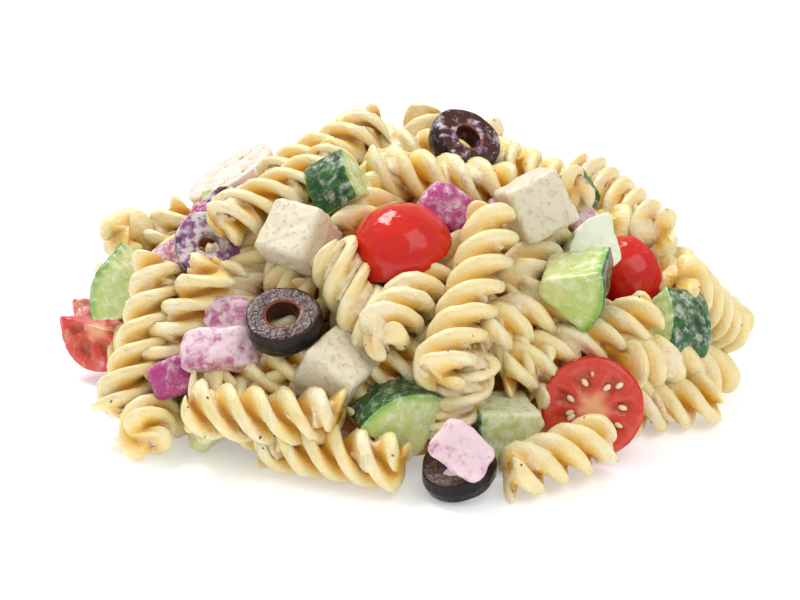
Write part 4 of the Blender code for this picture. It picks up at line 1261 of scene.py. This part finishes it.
# Looks: materials
class Paint:
    """A material built node by node."""

    def __init__(self, name):
        self.material = bpy.data.materials.new(name)
        self.material.use_nodes = True
        self.nodes = self.material.node_tree.nodes
        self.links = self.material.node_tree.links
        self.shader = self.nodes["Principled BSDF"]
        self.place = self.nodes.new("ShaderNodeTexCoord").outputs["Object"]

    def feed(self, socket, value):
        if isinstance(value, bpy.types.NodeSocket):
            self.links.new(value, socket)
        elif isinstance(value, tuple) and len(value) == 3:
            socket.default_value = (*value, 1.0)
        else:
            socket.default_value = value

    def set(self, **inputs):
        for name, value in inputs.items():
            self.feed(self.shader.inputs[name.replace("_", " ")], value)

    def value(self, name):
        node = self.nodes.new("ShaderNodeAttribute")
        node.attribute_name = name
        return node.outputs["Fac"]

    def noise(self, size, detail=3.0, distortion=0.0):
        """A random field of 0 to 1 with lumps of this size in millimetres."""
        node = self.nodes.new("ShaderNodeTexNoise")
        self.links.new(self.place, node.inputs["Vector"])
        node.inputs["Scale"].default_value = 1.0 / (size * MM)
        node.inputs["Detail"].default_value = detail
        node.inputs["Distortion"].default_value = distortion
        return node.outputs["Fac"]

    def specks(self, spacing, size):
        """1 in small dots this far apart, 0 elsewhere."""
        node = self.nodes.new("ShaderNodeTexVoronoi")
        self.links.new(self.place, node.inputs["Vector"])
        node.inputs["Scale"].default_value = 1.0 / (spacing * MM)
        return self.between(node.outputs["Distance"], size / spacing, 0.6 * size / spacing)

    def between(self, value, low, high, to_low=0.0, to_high=1.0):
        node = self.nodes.new("ShaderNodeMapRange")
        node.interpolation_type = "SMOOTHSTEP"
        names = ("Value", "From Min", "From Max", "To Min", "To Max")
        for name, part in zip(names, (value, low, high, to_low, to_high)):
            self.feed(node.inputs[name], part)
        return node.outputs["Result"]

    def math(self, operation, *parts):
        node = self.nodes.new("ShaderNodeMath")
        node.operation = operation
        for socket, part in zip(node.inputs, parts):
            self.feed(socket, part)
        return node.outputs["Value"]

    def times(self, one, other):
        return self.math("MULTIPLY", one, other)

    def plus(self, one, other):
        return self.math("ADD", one, other)

    def mix(self, share, one, other):
        node = self.nodes.new("ShaderNodeMix")
        node.data_type = "RGBA"
        self.feed(node.inputs["Factor"], share)
        sockets = [s for s in node.inputs if s.type == "RGBA"]
        self.feed(sockets[0], one)
        self.feed(sockets[1], other)
        return next(s for s in node.outputs if s.type == "RGBA")

    def facing_up(self):
        """From 0 where the surface faces down to 1 where it faces up."""
        geometry = self.nodes.new("ShaderNodeNewGeometry")
        parts = self.nodes.new("ShaderNodeSeparateXYZ")
        self.links.new(geometry.outputs["Normal"], parts.inputs["Vector"])
        return self.between(parts.outputs["Z"], -0.3, 0.9)

    def film(self, amount, size=3.0, softness=0.16):
        """How thickly dressing lies, by how much of it there is, more on what faces up."""
        patches, spots = self.noise(size, 4.0, 0.4), self.noise(0.28 * size, 3.0)
        field = self.math("MULTIPLY_ADD", patches, 0.75, self.times(spots, 0.25))
        reach = self.plus(amount, self.times(self.facing_up(), 0.18))
        high = self.math("MULTIPLY_ADD", reach, -0.36, 0.68)
        return self.between(self.math("SUBTRACT", field, high), -softness, softness)

    def bump(self, height, distance, strength=1.0):
        node = self.nodes.new("ShaderNodeBump")
        self.feed(node.inputs["Height"], height)
        node.inputs["Distance"].default_value = distance * MM
        node.inputs["Strength"].default_value = strength
        self.links.new(node.outputs["Normal"], self.shader.inputs["Normal"])

    def soft(self, weight, radius, depth):
        """Light that passes a little way through: its weight, colour spread and depth in millimetres."""
        self.shader.inputs["Subsurface Weight"].default_value = weight
        self.shader.inputs["Subsurface Radius"].default_value = radius
        self.shader.inputs["Subsurface Scale"].default_value = depth * MM


def pasta_looks():
    paint = Paint("pasta_looks")
    depth, sauce, tone = paint.value("depth"), paint.value("sauce"), paint.value("tone")
    cream = paint.mix(paint.noise(5.0), (0.86, 0.68, 0.28), (0.89, 0.78, 0.46))
    # Deeper orange down the flanks and into the grooves: partly the pasta's own yellow under less dressing,
    # partly painted shade in the recesses between the lips
    flank = paint.mix(paint.between(depth, 0.50, 0.94), (0.84, 0.52, 0.06), cream)
    groove = paint.mix(paint.between(depth, 0.32, 0.64), (0.62, 0.28, 0.015), flank)
    varied = paint.mix(paint.times(tone, 0.30), groove, (0.89, 0.74, 0.38))
    thick = paint.times(sauce, paint.between(paint.noise(1.8, 4.0), 0.25, 0.6, 0.40, 1.0))
    patches = paint.between(paint.noise(4.0), 0.4, 0.7, 0.0, 0.4)
    thin = paint.times(paint.between(depth, 0.80, 1.0), patches)
    coat = paint.math("MAXIMUM", thick, thin)
    dressed = paint.mix(paint.times(coat, 0.80), varied, (0.89, 0.80, 0.58))
    # Painted shade: pasta deep in the heap's gaps darkens to brown amber
    shaded = paint.mix(paint.times(paint.value("deep"), 0.90), dressed, (0.50, 0.21, 0.035))
    specked = paint.mix(paint.times(paint.specks(7.0, 0.26), 0.5), shaded, (0.20, 0.18, 0.06))
    grain = paint.plus(paint.noise(0.9, 4.0), paint.times(paint.noise(3.0, 2.0), 0.8))
    wet = paint.between(paint.noise(2.5), 0.3, 0.7, 0.20, 0.38)
    paint.set(Base_Color=specked, Roughness=wet, IOR=1.45)
    paint.bump(paint.plus(grain, paint.times(thick, 0.6)), 0.27)
    paint.soft(0.30, (1.0, 0.50, 0.15), 1.6)
    return paint.material


def tomato_looks():
    paint = Paint("tomato_looks")
    skin, pocket, core = paint.value("skin"), paint.value("pocket"), paint.value("core")
    flesh = paint.mix(paint.noise(2.0), (0.54, 0.02, 0.02), (0.76, 0.11, 0.06))
    cored = paint.mix(core, flesh, (0.85, 0.42, 0.22))
    jelly = paint.mix(paint.noise(4.0), (0.32, 0.005, 0.01), (0.68, 0.12, 0.02))
    pocketed = paint.mix(pocket, cored, jelly)
    shell = paint.mix(paint.noise(7.0), (0.50, 0.006, 0.003), (0.68, 0.022, 0.006))
    bare = paint.mix(paint.between(skin, 0.4, 0.6), pocketed, shell)
    film = paint.film(paint.value("coat"))
    white = paint.between(paint.value("coat"), 0.4, 0.8)
    tint = paint.mix(white, (0.90, 0.70, 0.62), (0.92, 0.84, 0.74))
    share = paint.math("MULTIPLY_ADD", white, 0.20, 0.60)
    paint.set(Base_Color=paint.mix(paint.times(film, share), bare, tint))
    paint.set(Roughness=paint.between(film, 0.0, 1.0, 0.08, 0.30), IOR=1.45)
    paint.bump(paint.noise(1.3, 4.0), 0.08)
    paint.soft(0.25, (1.0, 0.25, 0.1), 1.5)
    return paint.material


def seed_looks():
    paint = Paint("seed_looks")
    pale = paint.mix(paint.noise(0.8), (0.82, 0.60, 0.36), (0.90, 0.76, 0.55))
    paint.set(Base_Color=pale, Roughness=0.3)
    return paint.material


def cucumber_looks():
    paint = Paint("cucumber_looks")
    skin, out = paint.value("skin"), paint.value("out")
    streak = paint.noise(1.2, 5.0, 1.5)
    middle = paint.mix(streak, (0.50, 0.54, 0.16), (0.70, 0.72, 0.34))
    outer = paint.mix(paint.noise(3.0), (0.42, 0.54, 0.13), (0.58, 0.66, 0.24))
    flesh = paint.mix(paint.between(out, 0.30, 0.55), middle, outer)
    rim = paint.mix(paint.between(out, 0.84, 0.97), flesh, (0.22, 0.42, 0.06))
    stripe = paint.between(paint.noise(3.5, 3.0, 0.5), 0.35, 0.65)
    shell = paint.mix(stripe, (0.010, 0.050, 0.010), (0.04, 0.14, 0.03))
    bare = paint.mix(paint.between(skin, 0.35, 0.6), rim, shell)
    # The film is thinned only a little on the skin: its whitish streaks there are partly dressing, partly
    # painted highlight on the skin
    thinner = paint.math("MULTIPLY_ADD", paint.between(skin, 0.35, 0.6), -0.22, paint.value("coat"))
    film = paint.film(thinner, 2.2)
    share = paint.between(paint.value("coat"), 0.4, 0.8, 0.60, 0.85)
    paint.set(Base_Color=paint.mix(paint.times(film, share), bare, (0.86, 0.86, 0.74)))
    paint.set(Roughness=paint.between(film, 0.0, 1.0, 0.14, 0.36), IOR=1.4)
    paint.bump(paint.noise(1.1, 5.0, 0.8), 0.18)
    paint.soft(0.30, (0.7, 1.0, 0.3), 1.6)
    return paint.material


def cheese_looks():
    paint = Paint("cheese_looks")
    body = paint.mix(paint.noise(6.0), (0.68, 0.60, 0.43), (0.76, 0.70, 0.54))
    tinted = paint.mix(paint.between(paint.noise(9.0), 0.55, 0.75, 0.0, 0.35), body, (0.86, 0.66, 0.52))
    specked = paint.mix(paint.times(paint.specks(6.5, 0.4), 0.7), tinted, (0.22, 0.20, 0.07))
    pits = paint.between(paint.noise(1.5, 6.0), 0.30, 0.46)
    paint.set(Base_Color=specked, Roughness=0.48)
    paint.bump(paint.plus(pits, paint.times(paint.noise(0.8, 4.0), 0.5)), 0.25)
    paint.soft(0.35, (1.0, 0.8, 0.5), 1.8)
    return paint.material


def olive_looks():
    paint = Paint("olive_looks")
    skin, out = paint.value("skin"), paint.value("out")
    flesh = paint.mix(paint.noise(1.3, 5.0, 1.2), (0.026, 0.007, 0.005), (0.085, 0.026, 0.015))
    edge = paint.times(paint.between(out, 0.20, 0.07), paint.between(out, 0.0, 0.03))
    rimmed = paint.mix(edge, flesh, (0.22, 0.05, 0.025))
    bare = paint.mix(skin, rimmed, (0.012, 0.008, 0.009))
    film = paint.film(paint.value("coat"), 2.4, 0.10)
    tint = paint.mix(paint.between(paint.noise(2.0), 0.4, 0.6), (0.30, 0.10, 0.28), (0.80, 0.72, 0.76))
    paint.set(Base_Color=paint.mix(paint.times(film, 0.85), bare, tint))
    paint.set(Roughness=paint.between(film, 0.0, 1.0, 0.12, 0.34), IOR=1.45, Specular_IOR_Level=0.3)
    paint.bump(paint.plus(paint.noise(1.4, 5.0, 1.0), film), 0.25)
    return paint.material


def onion_looks():
    paint = Paint("onion_looks")
    out = paint.value("out")
    pink = paint.mix(paint.noise(3.5), (0.68, 0.27, 0.42), (0.84, 0.56, 0.62))
    magenta = paint.mix(paint.noise(2.5), (0.36, 0.02, 0.16), (0.52, 0.09, 0.28))
    layered = paint.mix(paint.between(out, 0.35, 0.75), pink, magenta)
    film = paint.film(paint.value("coat"), 2.6)
    paint.set(Base_Color=paint.mix(paint.times(film, 0.75), layered, (0.92, 0.80, 0.78)))
    paint.set(Roughness=paint.between(film, 0.0, 1.0, 0.12, 0.32), IOR=1.45)
    paint.bump(paint.plus(paint.noise(1.0, 4.0), film), 0.22)
    paint.soft(0.30, (1.0, 0.4, 0.5), 1.5)
    return paint.material


def herb_looks():
    paint = Paint("herb_looks")
    green = paint.mix(paint.noise(0.6), (0.05, 0.07, 0.015), (0.14, 0.16, 0.04))
    paint.set(Base_Color=green, Roughness=0.55)
    return paint.material


def floor_looks():
    paint = Paint("floor_looks")
    white = paint.mix(paint.noise(400.0), (0.85, 0.88, 0.92), (0.87, 0.90, 0.94))
    paint.set(Base_Color=white, Roughness=0.6)
    paint.shader.inputs["Specular IOR Level"].default_value = 0.2
    paint.set(Emission_Color=(0.96, 0.98, 1.0), Emission_Strength=FLOOR_GLOW)
    return paint.material


def add_floor():
    """The white surface that the heap lies on."""
    corners = np.array([(-1, -1, 0), (1, -1, 0), (1, 1, 0), (-1, 1, 0)]) * FLOOR_HALF
    data = bpy.data.meshes.new("floor")
    data.from_pydata((corners * MM).tolist(), [], [(0, 1, 2, 3)])
    data.materials.append(floor_looks())
    made = bpy.data.objects.new("floor", data)
    bpy.context.scene.collection.objects.link(made)


def add_camera():
    """A camera where the photo's was, shifted so that the heap lies in the picture as it does there."""
    right, up, towards = view_basis(0.0)
    lens = bpy.data.cameras.new("camera")
    lens.sensor_width = SENSOR
    lens.lens = SENSOR * VIEW_DISTANCE / PHOTO_WIDTH
    lens.shift_x, lens.shift_y = PHOTO_ACROSS / PHOTO_WIDTH, PHOTO_UP / PHOTO_WIDTH
    lens.clip_start, lens.clip_end = 0.05, 60.0
    camera = bpy.data.objects.new("camera", lens)
    matrix = Matrix(np.column_stack([right, up, towards])).to_4x4()
    matrix.translation = Vector(VIEW_DISTANCE * towards * MM)
    camera.matrix_world = matrix
    bpy.context.scene.collection.objects.link(camera)
    bpy.context.scene.camera = camera


def add_light(name, place, size, power):
    """A square soft light at a place in millimetres, aimed at the heap."""
    lamp = bpy.data.lights.new(name, "AREA")
    lamp.shape = "SQUARE"
    lamp.size = size * MM
    lamp.energy = power
    made = bpy.data.objects.new(name, lamp)
    spot = Vector(place) * MM
    turned = (spot - Vector((0, 0, LIT_HEIGHT))).to_track_quat("Z", "Y").to_matrix().to_4x4()
    made.matrix_world = Matrix.Translation(spot) @ turned
    bpy.context.scene.collection.objects.link(made)


def add_world():
    """Even white light from all round."""
    world = bpy.data.worlds.new("studio")
    world.use_nodes = True
    background = world.node_tree.nodes["Background"]
    background.inputs["Color"].default_value = (1.0, 1.0, 1.0, 1.0)
    background.inputs["Strength"].default_value = WORLD_STRENGTH
    bpy.context.scene.world = world


def main():
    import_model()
    add_camera()
    add_floor()
    add_world()
    for light in LIGHTS:
        add_light(*light)
    bpy.context.scene.view_settings.view_transform = "Standard"

    looks = {
        "pasta": pasta_looks(),
        "tomato": tomato_looks(),
        "seed": seed_looks(),
        "cucumber": cucumber_looks(),
        "cheese": cheese_looks(),
        "olive": olive_looks(),
        "onion": onion_looks(),
        "herb": herb_looks(),
    }
    draw = random.Random(SEED)
    hulls = [Hull(topping) for topping in TOPPINGS]
    part_all_hulls(hulls)
    strands = [placed_strand(twist) for twist in TWISTS] + back_strands(draw)
    settle(strands, hulls)
    part_all_hulls(hulls)
    strands = [s for s in strands if shortened_to_fit(s, hulls)]
    spins = [draw.uniform(0, math.tau) for _ in strands]

    outer = []
    for hull in hulls:
        if hull.topping.kind == "twist":
            outer.append(add_loose_twist(hull, looks, draw))
            continue
        add_topping_piece(hull, looks)
        if hull.topping.kind == "tomato_half":
            add_seeds(hull, looks)
    seen = (
        (strand, spin, SAUCED.get(strand.name, PLAIN_SAUCE), BENDS.get(strand.name))
        for strand, spin in zip(strands, spins)
    )
    outer += add_twists(seen, looks, draw, "twists", "twists_outer", ("pasta",))
    hidden = ((s, draw.uniform(0, math.tau), UNDER_SAUCE, None) for s in under_strands(draw, hulls))
    add_twists(hidden, looks, draw, "under", "twists_under")
    deep_core(looks)
    add_flecks(outer, looks, draw)

    bpy.context.view_layer.update()


main()
